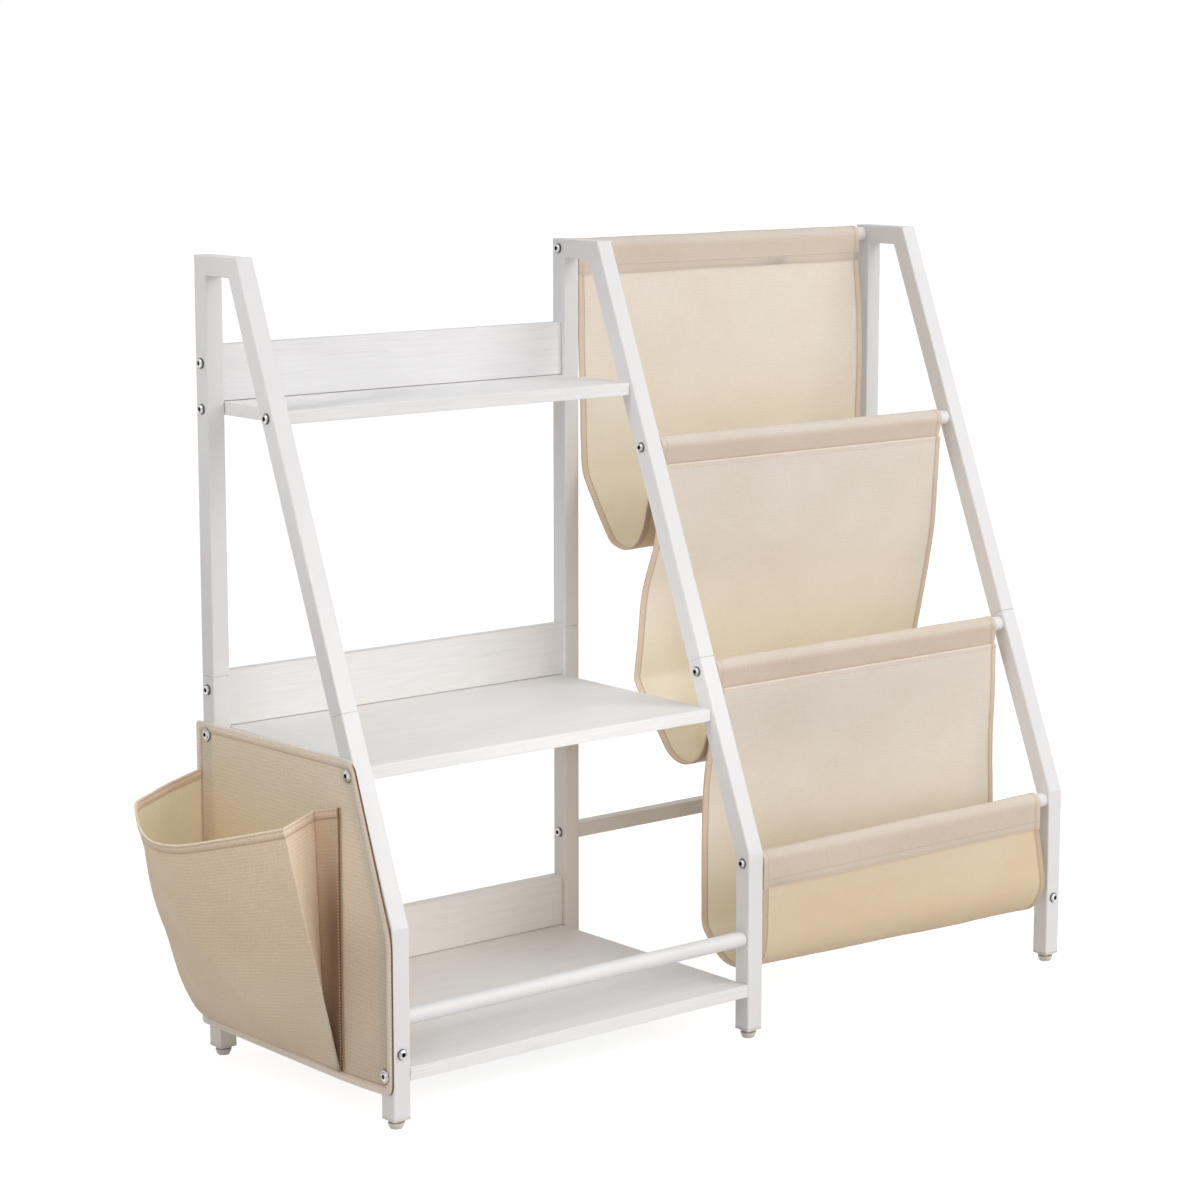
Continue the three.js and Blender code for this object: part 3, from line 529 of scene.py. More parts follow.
for name, place in rods["places"].items():
    addPiece(f"cloth_rod_{name}", roundBar(rods["left"], rods["right"], *place), coat,
             [f"sling_rod_{name}"])
rail = (10.0, 97.5)
addPiece("shelf_rail", roundBar(left, right, *rail), coat, ["front_rail"])
crossbar = {
    "half": 8.0, "edge": 1.5, "y": 308.0, "z": 154.0, "ventX": 506.3,
    "vent": [(0.05, 1.2), (1.6, 1.2), (1.8, 0.0), (2.2, -0.12), (2.3, 0.1), (0.05, 1.6)]}
w, y, z = (crossbar[key] for key in ("half", "y", "z"))
addPiece("lower_crossbar", roundedBar((rods["left"], y - w, z - w), (rods["right"], y + w, z + w),
                                      crossbar["edge"]), coat, ["rear_crossbar"])
# the vent: a dark disc of painted shade where the hole is
vent = lathe(crossbar["vent"], 24) + [crossbar["ventX"], y, z - w - 0.05]
addPiece("crossbar_vent", ringShape(vent), paintedHoleShadeSteel)
print("rods and rail ready")


# Screws
screws = {
    "socket": 2.3, "underTop": 6.5, "overTop": 38.5,
    "profile": [(2.6, 0.0), (5.0, 0.0), (5.3, 0.25), (5.27, 0.8), (5.05, 1.5), (4.6, 2.2),
                (4.0, 2.75), (3.3, 3.12), (2.85, 3.27)],
    "socketProfile": [(1.12, 3.3), (1.05, 3.2), (1.0, 3.0), (1.0, 1.3), (0.92, 1.15), (0.2, 0.7)],
    # dark: painted shade for each ring, round the head's rim and in the socket
    "dark": [0.9, 0.9, 0.9, 0.9, 0.75, 0.3, 0, 0, 0, 0, 0.6, 1, 1, 1, 1]}


def addScrew(name, place, facing, standsFor=(), seed=0):
    # button head: rings of the profile, then rings of a hexagon for the socket
    turn = (circle(48) + 0.7 * seed) % (np.pi / 3) - np.pi / 6
    share, height = np.array(screws["socketProfile"]).T[..., None]
    socket = around(share * screws["socket"] * np.cos(np.pi / 6) / np.cos(turn), height)
    rings = turned(np.concatenate([lathe(screws["profile"]), socket]), facing) + np.array(place)
    addPiece(name, ringShape(rings), screwSteel, standsFor,
             marks={"deep": np.repeat(screws["dark"], 48)}, sharp=32)


# (y, z) of the screws
boardScrews = {}
for name, (top, _) in boards["shelves"].items():
    z = top - screws["underTop"]
    boardScrews |= {f"shelf_{name}_rear": (rearY, z), f"shelf_{name}_front": (legY(z), z)}
boardScrews |= {f"backboard_{name}": (rearY, top + screws["overTop"])
                for name, (top, _) in boards["shelves"].items()}
boardScrews["rail"] = rail
rodScrews = {**{f"rod_{name}": place for name, place in rods["places"].items()},
             "crossbar": (crossbar["y"], crossbar["z"])}
for k, name in enumerate(("shelf_upper_rear", "shelf_upper_front", "backboard_upper",
                          "backboard_middle")):
    addScrew(f"button_{name}", (0.0, *boardScrews[name]), "-x", [f"screw_{name}"], k)
for k, (name, place) in enumerate(rodScrews.items()):
    addScrew(f"button_{name}", (449.0, *place), "-x", [f"screw_{name}"], k + 3)
    addScrew(f"right_button_{name}", (918.0, *place), "x", seed=k + 8)
for k, (name, place) in enumerate(boardScrews.items()):
    addScrew(f"inner_button_{name}", (469.0, *place), "x", seed=k + 14)
for side, x in (("left", 10.0), ("right", 908.0)):
    addScrew(f"button_leg_{side}", (x, 0.0, 65.5), "-y", [f"leg_screw_{side}"], 5)

# Plugs and levelling feet
feet = {
    "studRadius": 3.0, "pitch": 1.25, "studTop": 15.0, "threadDepth": 0.4, "step": 0.2,
    "profile": [(0.1, -9.0), (5.4, -9.0), (6.0, -8.8), (6.25, -8.3), (7.95, -4.6), (8.15, -4.1),
                (8.2, -3.6), (8.0, -3.15), (7.6, -3.0), (4.2, -3.0), (3.6, -2.9)]}


def levellingFoot(x, y):
    # tapered pad, and a stud whose radius follows a saw of height and angle: its thread
    height = np.arange(-2.8, feet["studTop"], feet["step"])[:, None]
    saw = np.abs((height / feet["pitch"] - circle(48) / (2 * np.pi)) % 1 * 2 - 1)
    stud = around(feet["studRadius"] - feet["threadDepth"] * (1 - saw), height)
    return ringShape(np.concatenate([lathe(feet["profile"]), stud]) + [x, y, 0.0])


def plugBlock(x, y, reach, low, high, edge):
    return roundedBar((x - reach, y - reach, low), (x + reach, y + reach, high), edge, axis=2)


for side, name in enumerate(("left", "middle", "right")):
    for end, y in (("front", half), ("rear", rearY)):
        x = side * frames["pitch"] + half
        flange = plugBlock(x, y, half, 0.0, 2.2, 0.9)
        boss = plugBlock(x, y, 6.5, -2.0, 0.5, 0.8)
        addPiece(f"leg_plug_{end}_{name}", gather(flange, boss), footPlastic,
                 [f"end_plug_{end}_{name}"])
        addPiece(f"foot_pad_{end}_{name}", levellingFoot(x, y), footPlastic,
                 [f"levelling_foot_{end}_{name}"], body=f"levelling_foot_{end}_{name}", sharp=40)
print("screws and feet ready")


# Cloth
def smoothLine(points, perSpan=16):
    # a curve through all the points, its speed following the square root of their spacing
    points = np.array(points, float)
    points = np.vstack([2 * points[0] - points[1], points, 2 * points[-1] - points[-2]])
    curve = []
    for i in range(len(points) - 3):
        p = points[i:i + 4]
        t = summed(spans(p) ** 0.5)
        s = np.linspace(t[1], t[2], perSpan, endpoint=False)[:, None]

        def mix(a, b, ta, tb):
            return (tb - s) / (tb - ta) * a + (s - ta) / (tb - ta) * b

        a = [mix(p[k], p[k + 1], t[k], t[k + 1]) for k in range(3)]
        curve.append(mix(mix(a[0], a[1], t[0], t[2]), mix(a[1], a[2], t[1], t[3]), t[1], t[2]))
    return np.concatenate([*curve, points[-2:-1]])


def taken(values, length, places):  # the values at some places along their line
    return np.stack([np.interp(places, length, column) for column in values.T], -1)


def evenRows(lines, spacing, near=()):
    # lines of as many points each, taken again at steps that are even on their mean length,
    # with closer ones, near, at both ends
    length = summed(np.mean([spans(line) for line in lines], 0))
    end, near = length[-1], np.array(near)
    start = near[-1] if len(near) else 0.0
    count = int(round((end - 2 * start) / spacing)) + 1
    even = np.linspace(start, end - start, count)
    places = np.concatenate([near[:-1], even, end - near[:-1][::-1]])
    return [taken(line, length, places) for line in lines], places


def soften(line, passes):
    # each point moves to the mean of itself and its neighbours; the ends stay
    line = line.copy()
    for _ in range(passes):
        line[1:-1] = line[1:-1] / 2 + (line[:-2] + line[2:]) / 4
    return line


def ripple(u, v, seed, wave, count=7):
    # a few plane waves in seeded directions, lengths round wave, summed to about -1 to 1
    dice = np.random.default_rng(seed)
    total = 0
    for _ in range(count):
        angle, size, phase = (dice.uniform(*span) for span in ((0, np.pi), (0.7, 1.7), (0, 6.3)))
        way = u * np.cos(angle) + v * np.sin(angle)
        total = total + np.sin(way * 2 * np.pi / (wave * size) + phase)
    return total / count ** 0.5 / 1.4


def bell(distance, width):
    return np.exp(-(distance / width) ** 2)


def ramp(value, low, high):  # 0 to 1, smooth at both ends
    share = np.clip((value - low) / (high - low), 0, 1)
    return share * share * (3 - 2 * share)


def surfaceNormals(grid):
    return unit(np.cross(np.gradient(grid, axis=0), np.gradient(grid, axis=1)))


def raised(grid, normal, height):
    return grid + normal * height[..., None]


def joined(marks):  # the marks of all faces in one row, as addPiece takes them
    return {name: np.concatenate([part.ravel() for part in parts])
            for name, parts in marks.items()}


stitches = {"pitch": 3.1, "length": 2.3, "radius": 0.3, "lift": 0.12, "dip": 0.45}


def stitchRow(path, normal, pitch=stitches["pitch"]):
    # short bent threads along a line on the cloth: rings of six points on an arc that dips
    # into the cloth at both ends
    length = summed(spans(path))
    count = int(length[-1] / pitch)
    centre = (np.arange(count) + 0.5) * length[-1] / count
    reach = np.linspace(-0.5, 0.5, 5) * stitches["length"]
    where = np.clip(centre[:, None] + reach, 0, length[-1])
    spine, up = taken(path, length, where), taken(normal, length, where)
    side = np.cross(unit(np.gradient(spine, axis=1)), up)
    thick = stitches["radius"] * np.array([0.55, 0.95, 1.0, 0.95, 0.55])
    lift = stitches["lift"] - stitches["dip"] * np.linspace(-1, 1, 5) ** 4
    thick, lift, angle = thick[:, None, None], lift[:, None, None], circle(6)[:, None]
    rings = (spine[:, :, None] + up[:, :, None] * (lift + thick * np.sin(angle)) +
             side[:, :, None] * thick * np.cos(angle))
    start = (np.arange(count) * 30)[:, None, None]
    quads = (quadsOf(5, 6, columnsClosed=True) + start).reshape(-1, 4)[:, ::-1]
    caps = np.concatenate([np.arange(6)[None] + start[:, 0],
                           np.arange(24, 30)[None, ::-1] + start[:, 0]])
    return outward(rings.reshape(-1, 3), [quads, caps])


sling = {"left": 470.2, "right": 884.0, "cloth": 1.2, "seamDrop": 20.0, "sideHem": 8.0,
         "stitchInset": 6.8, "rowStep": 2.6, "columnStep": 8.0,
         # rows and columns close together at the ends and over the side hems
         "nearEnds": (0, 0.6, 1.2, 1.8, 2.4, 3.0, 3.6, 4.2, 5.0, 6.0, 7.0, 7.6, 8.2, 8.8, 9.4,
                      10.2, 12.0),
         "nearSides": (0, 0.35, 0.9, 2.0, 3.6, 5.2, 6.0, 6.4, 6.8, 7.2, 7.7, 8.1, 8.6, 9.4, 11.0,
                       14.0),
         # upper and lower rod, seed, and shade all round the sleeve and at its top
         "panels": {"upper": ("top", "second", 3, (0.18, 0.8)),
                    "middle": ("second", "third", 8, (0.12, 0.15)),
                    "lower": ("third", "front", 15, (0.28, 0.15))},
         # how far a sleeve's seam lies before the rod's middle, and its band's height
         "seams": {"top": (7.5, 9.0), "second": (3.0, 3.0), "third": (6.0, 3.0),
                   "front": (8.0, 9.0)}}
# (y, z) down each pocket's side at its left and right end, from seam to seam
pockets = {
    "upper": {"left": [
        (299.8, 700.9), (297.1, 619.8), (293.8, 556.0), (292.4, 549.5), (289.4, 543.0),
        (270.3, 513.4), (248.2, 482.6), (244.6, 479.6), (235.4, 476.2), (225.0, 474.2),
        (212.0, 477.4), (197.8, 491.0), (188.2, 519.1), (181.0, 544.7)], "right": [
        (294.3, 700.9), (294.3, 619.8), (293.0, 556.0), (291.6, 549.5), (288.6, 543.0),
        (269.5, 511.5), (247.2, 481.0), (243.6, 478.0), (234.4, 474.6), (224.0, 473.0),
        (211.4, 476.4), (197.4, 490.0), (188.2, 519.1), (181.0, 544.7)]},
    "middle": {"left": [
        (167.6, 531.9), (175.2, 484.3), (194.8, 426.2), (206.0, 345.0), (206.6, 338.3),
        (203.8, 332.0), (181.5, 303.5), (168.4, 286.3), (154.2, 268.1), (145.6, 262.3),
        (135.0, 258.8), (122.0, 259.0), (105.6, 267.0), (95.2, 281.2), (88.5, 302.0),
        (85.2, 320.0)], "right": [
        (167.2, 531.9), (171.2, 474.8), (181.0, 419.2), (197.0, 345.0), (197.8, 338.3),
        (195.2, 332.0), (176.0, 301.0), (163.0, 283.0), (150.5, 266.5), (143.5, 261.5),
        (134.0, 258.3), (122.0, 258.8), (105.6, 267.0), (95.2, 281.2), (88.5, 302.0),
        (85.2, 320.0)]},
    "lower": {"left": [
        (85.6, 292.6), (94.0, 249.1), (97.1, 187.4), (96.6, 112.0), (96.2, 94.0), (94.2, 87.6),
        (88.4, 80.4), (74.2, 66.2), (62.0, 58.8), (50.0, 56.4), (36.0, 57.2), (19.0, 62.8),
        (8.5, 73.0), (4.0, 90.0), (3.0, 119.6)], "right": [
        (73.0, 300.1), (75.0, 232.2), (73.4, 168.2), (76.2, 112.0), (76.2, 92.0), (74.5, 84.6),
        (70.0, 76.0), (60.0, 59.6), (52.6, 53.2), (42.0, 50.6), (31.6, 50.0), (17.0, 52.6),
        (4.0, 61.4), (-7.6, 84.2), (-3.0, 119.6)]}}


nearSides = np.array(sling["nearSides"])
inner = sling["left"] + nearSides[-1], sling["right"] - nearSides[-1]
steps = int((inner[1] - inner[0]) / sling["columnStep"])
clothX = np.concatenate([sling["left"] + nearSides, np.linspace(*inner, steps + 1)[1:-1],
                         (sling["right"] - nearSides)[::-1]])
clothHalf, drop = sling["cloth"] / 2, sling["seamDrop"]


def hemProfile(distance, width, height):
    # height over the cloth, by the distance from its edge: a folded band, a line of stitches
    # pulled into it and a rounded edge
    band = height * (1 - ramp(distance, width - 0.4, width + 0.5))
    return band - 0.32 * bell(distance - (width - 1.2), 0.6) - 0.3 * bell(distance, 0.3)


def dropLine(rod):
    # the cloth's middle line round a rod: straight up from the tab, over and down again, cut
    # into short steps and softened at the bends
    forward, band = sling["seams"][rod]
    r = rods["radius"] + 0.3 + clothHalf

    def touch(offset, side):
        return np.arctan2(-drop, offset) + side * np.arccos(r / np.hypot(offset, drop))

    behind, before = -forward - clothHalf, -forward + clothHalf
    angle = np.linspace(touch(behind, -1) + 2 * np.pi, touch(before, 1), 40)
    arc = np.stack([r * np.cos(angle), r * np.sin(angle)], 1)
    line = np.vstack([[behind, -drop - band], [behind, -drop], arc, [before, -drop],
                      [before, -drop - band]])
    (fine,), _ = evenRows([line + rods["places"][rod]], 0.8)
    return soften(fine, 6)


def clothStrip(lines, topFold, wave, loops, seams, rowStep=sling["rowStep"]):
    # a strip between a left and a right line of (y, z): its middle surface, and the two
    # faces over it, each raised along the side hems. loops: the stretches that lie round a
    # rod; seams: the places of the stitch rows across; wave: its height, length and seed
    (leftLine, rightLine), rows = evenRows(lines, rowStep, sling["nearEnds"])
    row, column = rows[:, None], clothX[None]
    share = ((column - clothX[0]) / (clothX[-1] - clothX[0]))[..., None]
    flat = leftLine[:, None] * (1 - share) + rightLine[:, None] * share
    grid = np.concatenate([(column + 0 * row)[..., None], flat], -1)
    normal = surfaceNormals(grid)
    ends = ramp(row, 18, 90) * ramp(rows[-1] - row, 8, 60)
    loop = sum(ramp(row, a - 3, a + 3) * (1 - ramp(row, b - 3, b + 3)) for a, b in loops)
    # broad waves, small ones, and puckers: short waves along x, only where the sleeve is
    # pulled in under its rod
    broad, length, seed = wave
    height = ends * broad * ripple(column, row, seed, length)
    height = height + 0.14 * ripple(column, row, seed + 1, 22.0, 9)
    height = height + (0.22 * loop * ramp(normal[..., 2], -0.4, 0.2) *
                       ripple(column, row * 0.25, seed + 5, 13.0, 9))
    grid = raised(grid, normal, height)
    normal = surfaceNormals(grid)
    edge = np.minimum(column - clothX[0], clothX[-1] - column) + 0 * row
    front, back = (clothHalf + hemProfile(edge, sling["sideHem"], hemHeight)
                   for hemHeight in (0.6, 0.35))
    if topFold:
        front = front + 0.9 * (1 - ramp(row, 4.4, 5.4))
        front = front - 0.3 * (bell(row - 3.0, 0.6) + bell(row, 0.4))
    hem = (1 - ramp(edge, sling["sideHem"] - 0.6, sling["sideHem"] + 0.3)) * (1 - 0.75 * loop)
    seam = 0.6 * bell(edge - sling["stitchInset"], 0.6) + 0.3 * bell(edge, 0.5)
    seam = seam * (1 - 0.8 * loop)
    for place in seams:
        seam = np.maximum(seam, 0.35 * bell(row - place, 0.7))
    uv = np.stack(np.broadcast_arrays(column / 1000, row / 1000), -1)
    return {"upper": raised(grid, normal, front), "lower": raised(grid, normal, -back),
            "normal": normal, "rows": rows, "uv": uv, "hem": hem, "seam": seam, "loop": loop}


def stripMarks(strips, topZ, bottomZ, floorRow, sleeveShade, topShade):
    # for both faces of each strip: hem and seam as they are; a painted glow of light that
    # shines through and bounces, by how low in the pocket a point lies, and little of it round
    # a rod; painted shade, on a sleeve by sleeveShade, more at its underside and its top, on
    # the lower face also behind the panel and on the pocket's front
    marks = {"hem": [], "seam": [], "deep": [], "paintedShade": []}
    for k, strip in enumerate(strips):
        loop, row = strip["loop"], strip["rows"][:, None]
        front = (ramp(row, floorRow - 20, floorRow + 20) if k == 0 else 0) * (1 - loop)
        for face, sign in (("upper", 1), ("lower", -1)):
            low = np.clip((topZ - strip[face][..., 2]) / (topZ - bottomZ), 0, 1)
            y, z = sign * strip["normal"][..., 1], sign * strip["normal"][..., 2]
            top = topShade * ramp(y, -0.4, 0.1) * (1 - ramp(y, 0.25, 0.6))
            paintedShade = loop * (sleeveShade + 0.34 * ramp(-z, -0.45, 0.4) + top)
            if face == "lower":
                paintedShade = paintedShade + 0.15 * (1 - loop) * (1 - front) + front * (0.38 + 0.29 * low)
            for mark, part in (("hem", strip["hem"]), ("seam", strip["seam"]), ("paintedShade", paintedShade),
                               ("deep", ramp(low, 0.15, 0.95) * (1 - 0.85 * loop))):
                marks[mark].append(part)
    return joined(marks)


def sideStitches(strip):
    fromLeft, fromRight = clothX - clothX[0], clothX[-1] - clothX
    columns = [np.argmin(np.abs(way - sling["stitchInset"])) for way in (fromLeft, fromRight)]
    return [stitchRow(strip[face][:, column], sign * strip["normal"][:, column])
            for column in columns for face, sign in (("upper", 1), ("lower", -1))]


def crossStitches(strip, place, face="upper", sign=1):
    row = np.argmin(np.abs(strip["rows"] - place))
    return stitchRow(strip[face][row, 1:-1], sign * strip["normal"][row, 1:-1])


lap = 1.5 * sling["cloth"] + 0.3  # from a sleeve's middle layers to a panel sewn on them
sleeves = {rod: dropLine(rod) for rod in rods["places"]}
sleeveLength = {rod: spans(sleeve).sum() for rod, sleeve in sleeves.items()}
for name, (upperRod, lowerRod, seed, shades) in sling["panels"].items():
    (upY, upZ), (lowY, lowZ) = rods["places"][upperRod], rods["places"][lowerRod]
    (upForward, upBand), (lowForward, lowBand) = sling["seams"][upperRod], sling["seams"][lowerRod]
    start = (upY - upForward - lap - clothHalf, upZ - drop)
    end = (lowY - lowForward + lap, lowZ - drop)
    if name == "upper":
        start = (upY - upForward + clothHalf, upZ - drop - upBand)
    if name == "lower":
        end = (lowY - lowForward + clothHalf, lowZ - drop)
    lines = []
    for side in ("left", "right"):
        line = smoothLine([start, (start[0], start[1] - 8), *pockets[name][side],
                           (end[0], end[1] - lowBand)])
        if name == "upper":
            line = np.vstack([sleeves["top"][:-1], line])
        tail = sleeves["front"][::-1] if name == "lower" else [[end[0], end[1] - 0.5]]
        lines.append(np.vstack([line[:-1] if name == "lower" else line, tail]))
    total = sum(spans(line).sum() / 2 for line in lines)
    loops, outer = {"upper": ([(-9, sleeveLength["top"])], [2.0, 8.5]), "middle": ([], []),
                    "lower": ([(total - sleeveLength["front"], total + 9)],
                              [total - 2.0, total - 8.5])}[name]
    seams = outer if name == "upper" else [3.0, *outer]
    body = clothStrip(lines, name != "upper", (0.9, 120.0, seed), loops, seams)
    strips = [body]
    rows = [crossStitches(body, place, "lower", -1) for place in outer]
    if name != "upper":
        strips.append(clothStrip([sleeves[upperRod]] * 2, False, (0.0, 60.0, seed + 2),
                                 [(-9, 999)], [], 1.6))
        rows.append(crossStitches(body, 3.0))
    middleZ = body["upper"][:, body["upper"].shape[1] // 2, 2]
    cloth = addPiece(
        f"sling_cloth_{name}", gather(*[shellShape(s["upper"], s["lower"]) for s in strips]),
        slingCloth, [f"sling_{name}"], sharp=50,
        uv=np.concatenate([np.tile(s["uv"].reshape(-1, 2), (2, 1)) for s in strips]),
        marks=stripMarks(strips, upZ - drop, middleZ.min(), body["rows"][np.argmin(middleZ)],
                         *shades))
    sewing = addPiece(f"sling_thread_{name}", gather(*rows), thread, sharp=60)
    sideRows = [row for s in strips for row in sideStitches(s)]
    sideSewing = addPiece(f"sling_side_thread_{name}", gather(*sideRows), darkThread,
                          sharp=60)
    length = sum(s["rows"][-1] for s in strips) / 1000
    print(f"sling {name}: {length:.3f} m long")
print("sling ready")

# Cloth bag on the left frame: a flat panel, and a cloth that stands out from it
panel = {"right": -0.3, "thickness": 2.4, "hem": 9.0, "hemRaise": 0.7, "stitchRing": 8,
         "insets": [0, 0.25, 0.7, 1.5, 3.0, 5.0, 6.4, 6.9, 7.3, 7.7, 8.2, 8.7, 9.2, 9.8, 11.0,
                    13.0],
         # y, z and radius of each corner
         "corners": [(-2.0, 26.0, 12.0), (60.0, 22.0, 40.0), (327.0, 22.0, 5.0),
                     (327.0, 336.0, 5.0), (legY(340.0, 0.0) - 3.9, 340.0, 13.0),
                     (-2.0, 178.0, 13.0)]}


def insetOutline(corners, inset, perCorner=12, perSide=14):
    # the polygon's sides moved in by inset, and its corners rounded with what is left of
    # their radius; the points keep their order, so that outlines can be skinned
    y, z, radius = np.array(corners).T
    place = np.stack([y, z], 1)
    along = unit(np.roll(place, -1, axis=0) - place)
    inward = np.stack([-along[:, 1], along[:, 0]], 1)
    before = np.roll(inward, 1, axis=0)
    corner = place + inset * (before + inward) / (1 + np.sum(before * inward, 1))[:, None]
    reach = np.maximum(radius - inset * 0.6, 1.2)[:, None]
    first, last = corner - np.roll(along, 1, axis=0) * reach, corner + along * reach
    turn = np.linspace(0, 1, perCorner)[:, None, None]
    arcs = (1 - turn) ** 2 * first + 2 * turn * (1 - turn) * corner + turn ** 2 * last
    share = np.linspace(0, 1, perSide + 2)[1:-1, None, None]
    sides = last * (1 - share) + np.roll(first, -1, axis=0) * share
    return np.concatenate([arcs, sides]).swapaxes(0, 1).reshape(-1, 2)


def bagPanel():
    # rings of the outline from the edge inwards; x follows the hem's height, its stitch
    # groove and a slow wave
    outline = [insetOutline(panel["corners"], inset) for inset in panel["insets"]]
    shares = np.linspace(0.96, 0.02, 34)
    middle = outline[-1].mean(0)
    rings = np.array(outline + [middle + (outline[-1] - middle) * share for share in shares])
    distance = np.concatenate([panel["insets"], panel["insets"][-1] + (1 - shares) * 100])[:, None]
    y, z = rings[..., 0], rings[..., 1]
    height = panel["thickness"] - 0.5 + hemProfile(distance, panel["hem"], panel["hemRaise"])
    height = height + 0.45 * ripple(y, z, 31, 90.0) * ramp(distance, 8, 40)
    height = height - 0.7 * bell(distance, 0.5)
    front = np.stack([panel["right"] - height, y, z], -1)
    back = np.stack([panel["right"] + 0 * y - 0.5 * bell(distance, 0.4), y, z], -1)
    hem = 1 - ramp(distance, 8.4, 9.2) + 0 * y
    # inside: a painted glow of light that shines through and bounces in the bag, on the panel's
    # face within it
    inside = ramp(292 - z, 0, 70) * ramp(y, 76, 90) * (1 - ramp(y, 310, 319))
    sewn = 0.45 * bell(distance - 7.3, 0.5) + 0.6 * bell(distance - 9.3, 0.6) + 0 * y
    # frontRim: painted shadow along the front edge, where the panel stands off the leg; shade:
    # painted shade beside the bag's front seam, low down
    forward = -unit(rings[0] - rings[4])[:, 0]
    frontRim = (1 - ramp(distance, 0.3, 0.9)) * ramp(forward, 0.4, 0.8)
    shade = 0.26 * ramp(250 - z, 0, 110) * ramp(100 - y, 0, 20) * (1 - hem)
    marks = joined({mark: (part[::-1], part) for mark, part in (
        ("hem", hem), ("seam", sewn), ("paintedShade", np.maximum(frontRim, shade)))})
    marks["deep"] = np.concatenate([inside[::-1].ravel(), 0 * inside.ravel()])
    line = front[panel["stitchRing"]]
    return np.concatenate([front[::-1], back]), marks, np.vstack([line, line[:1]])


rings, marks, line = bagPanel()
panelPiece = addPiece("bag_panel_cloth", ringShape(rings), panelCloth,
                      ["pocket_panel"], uv=rings[..., 1:] / 1000, marks=marks, sharp=50)
panelThread = addPiece("bag_panel_thread", stitchRow(line, [-1.0, 0, 0] + 0 * line, 3.4), thread,
                       sharp=60)

grommet = {
    # dark: painted shade for each ring, round the flange's outline and in its hole
    "screwLift": 0.8, "dark": (0.95, 0.9, 0.6, 0.1, 0.0, 0.5, 0.95, 0.95),
    "profile": [(3.2, -0.3), (3.2, 0.55), (3.6, 0.95), (4.6, 1.15), (5.9, 1.1), (6.6, 0.75),
                (6.9, 0.2), (6.9, -0.3)]}
panelFace = panel["right"] - panel["thickness"] + 0.1
ends = [(shelf, high, end) for shelf, high in (("middle", "top"), ("lower", "bottom"))
        for end in ("rear", "front")]
for k, (shelf, high, end) in enumerate(ends):
    place = boardScrews[f"shelf_{shelf}_{end}"]
    rings = turned(lathe(grommet["profile"]), "-x") + [panelFace, *place]
    addPiece(f"grommet_{high}_{end}",
             outward(rings.reshape(-1, 3), [quadsOf(len(rings), 48, True, True)]), grommetMetal,
             marks={"deep": np.repeat(grommet["dark"], 48)}, sharp=50)
    addScrew(f"button_pocket_{high}_{end}", (panelFace + grommet["screwLift"], *place), "-x",
             [f"screw_pocket_{high}_{end}"], k + 20)

bag = {"cloth": 1.2, "wall": -3.2, "rear": 318.0, "front": 76.0, "bottom": 33.0, "height": 259.0,
       "bulge": 126.0, "mouthHem": 8.6, "stitchRows": (2.4, 7.2), "layers": 2.6,
       # where, width and height
       "folds": [(70, 16, 1.8), (112, 20, -1.8), (150, 17, 2.3), (196, 22, -1.8)],
       # way at the mouth, way at the bottom, bulge share, height share, power of the bulge
       "shares": [
           (0, 0, 0, .985, .6), (.008, .006, .305, .95, .6), (.083, .012, .695, .919, .6),
           (.186, .11, .817, .903, .6), (.341, .28, .955, .87, .6), (.455, .4, 1, .855, .6),
           (.589, .54, .983, .861, .62), (.69, .65, .912, .88, .68), (.781, .75, .83, .903, .78),
           (.893, .875, .668, .931, .9), (.992, .997, .502, .958, 1), (.876, .885, .07, .973, 1),
           (1, 1, 0, 1, 1)]}


def bagGrid():
    # a column for each share row, smooth over the belly, with a crease at its corner and in
    # the gusset's valley; each one rises from the bottom seam and bulges out by a power of
    # its rise. The folded layers of the gusset lie on each other at the bottom.
    shares = np.array(bag["shares"])
    knots = np.vstack([shares[:2], smoothLine(shares[2:11], 8), shares[11:]])
    belly = np.arange(2, 65.6, 0.9)
    corner, valley, seam = 66, 67, 68
    place = np.concatenate([
        np.linspace(0, 1, 8, endpoint=False), np.linspace(1, 2, 10, endpoint=False), belly,
        [corner - 0.3, corner, corner + 0.02], np.linspace(corner + 0.05, valley - 0.05, 20),
        [valley - 0.02, valley, valley + 0.04], np.linspace(valley + 0.12, seam, 10)])
    columns = taken(knots, np.arange(len(knots)), place)
    smooth = slice(14, 18 + len(belly))
    columns[smooth] = soften(columns[smooth], 3)
    mouth, foot, out, height, power = columns.T
    down = np.concatenate([
        [0, 0.4, 1.0, 1.7, 2.1, 2.5, 2.9, 3.8, 5.2, 6.4, 6.8, 7.2, 7.6, 8.2, 8.8, 9.6, 12],
        np.linspace(15, bag["height"] - 6, 66), bag["height"] - np.array([4.5, 3.5, 2.5, 1.2, 0])])
    rise = (1 - down / bag["height"])[:, None]
    thick = bag["layers"]
    layers = np.interp(place, [0, 50, 62, corner, valley, seam], [0, 0, thick, thick, thick / 2, 0])
    way = foot + (mouth - foot) * rise
    bulge = out * bag["bulge"] * np.maximum(rise, 1e-6) ** power
    reach = bag["cloth"] + layers * (1 - rise) + bulge
    grid = np.stack([bag["wall"] - reach, bag["rear"] + way * (bag["front"] - bag["rear"]),
                     bag["bottom"] + rise * height * bag["height"]], -1)
    return grid, np.broadcast_to(down[:, None], grid.shape[:2]), rise, place


grid, down, rise, place = bagGrid()
normal = surfaceNormals(grid)
along = summed(spans(grid[20]))[None]
edge = np.minimum(along, along[0, -1] - along)
soft = ramp(edge, 6, 40) * ramp(down, 2, 30) * ramp(rise, 0.0, 0.25) * (1 - ramp(place, 60, 65.5))
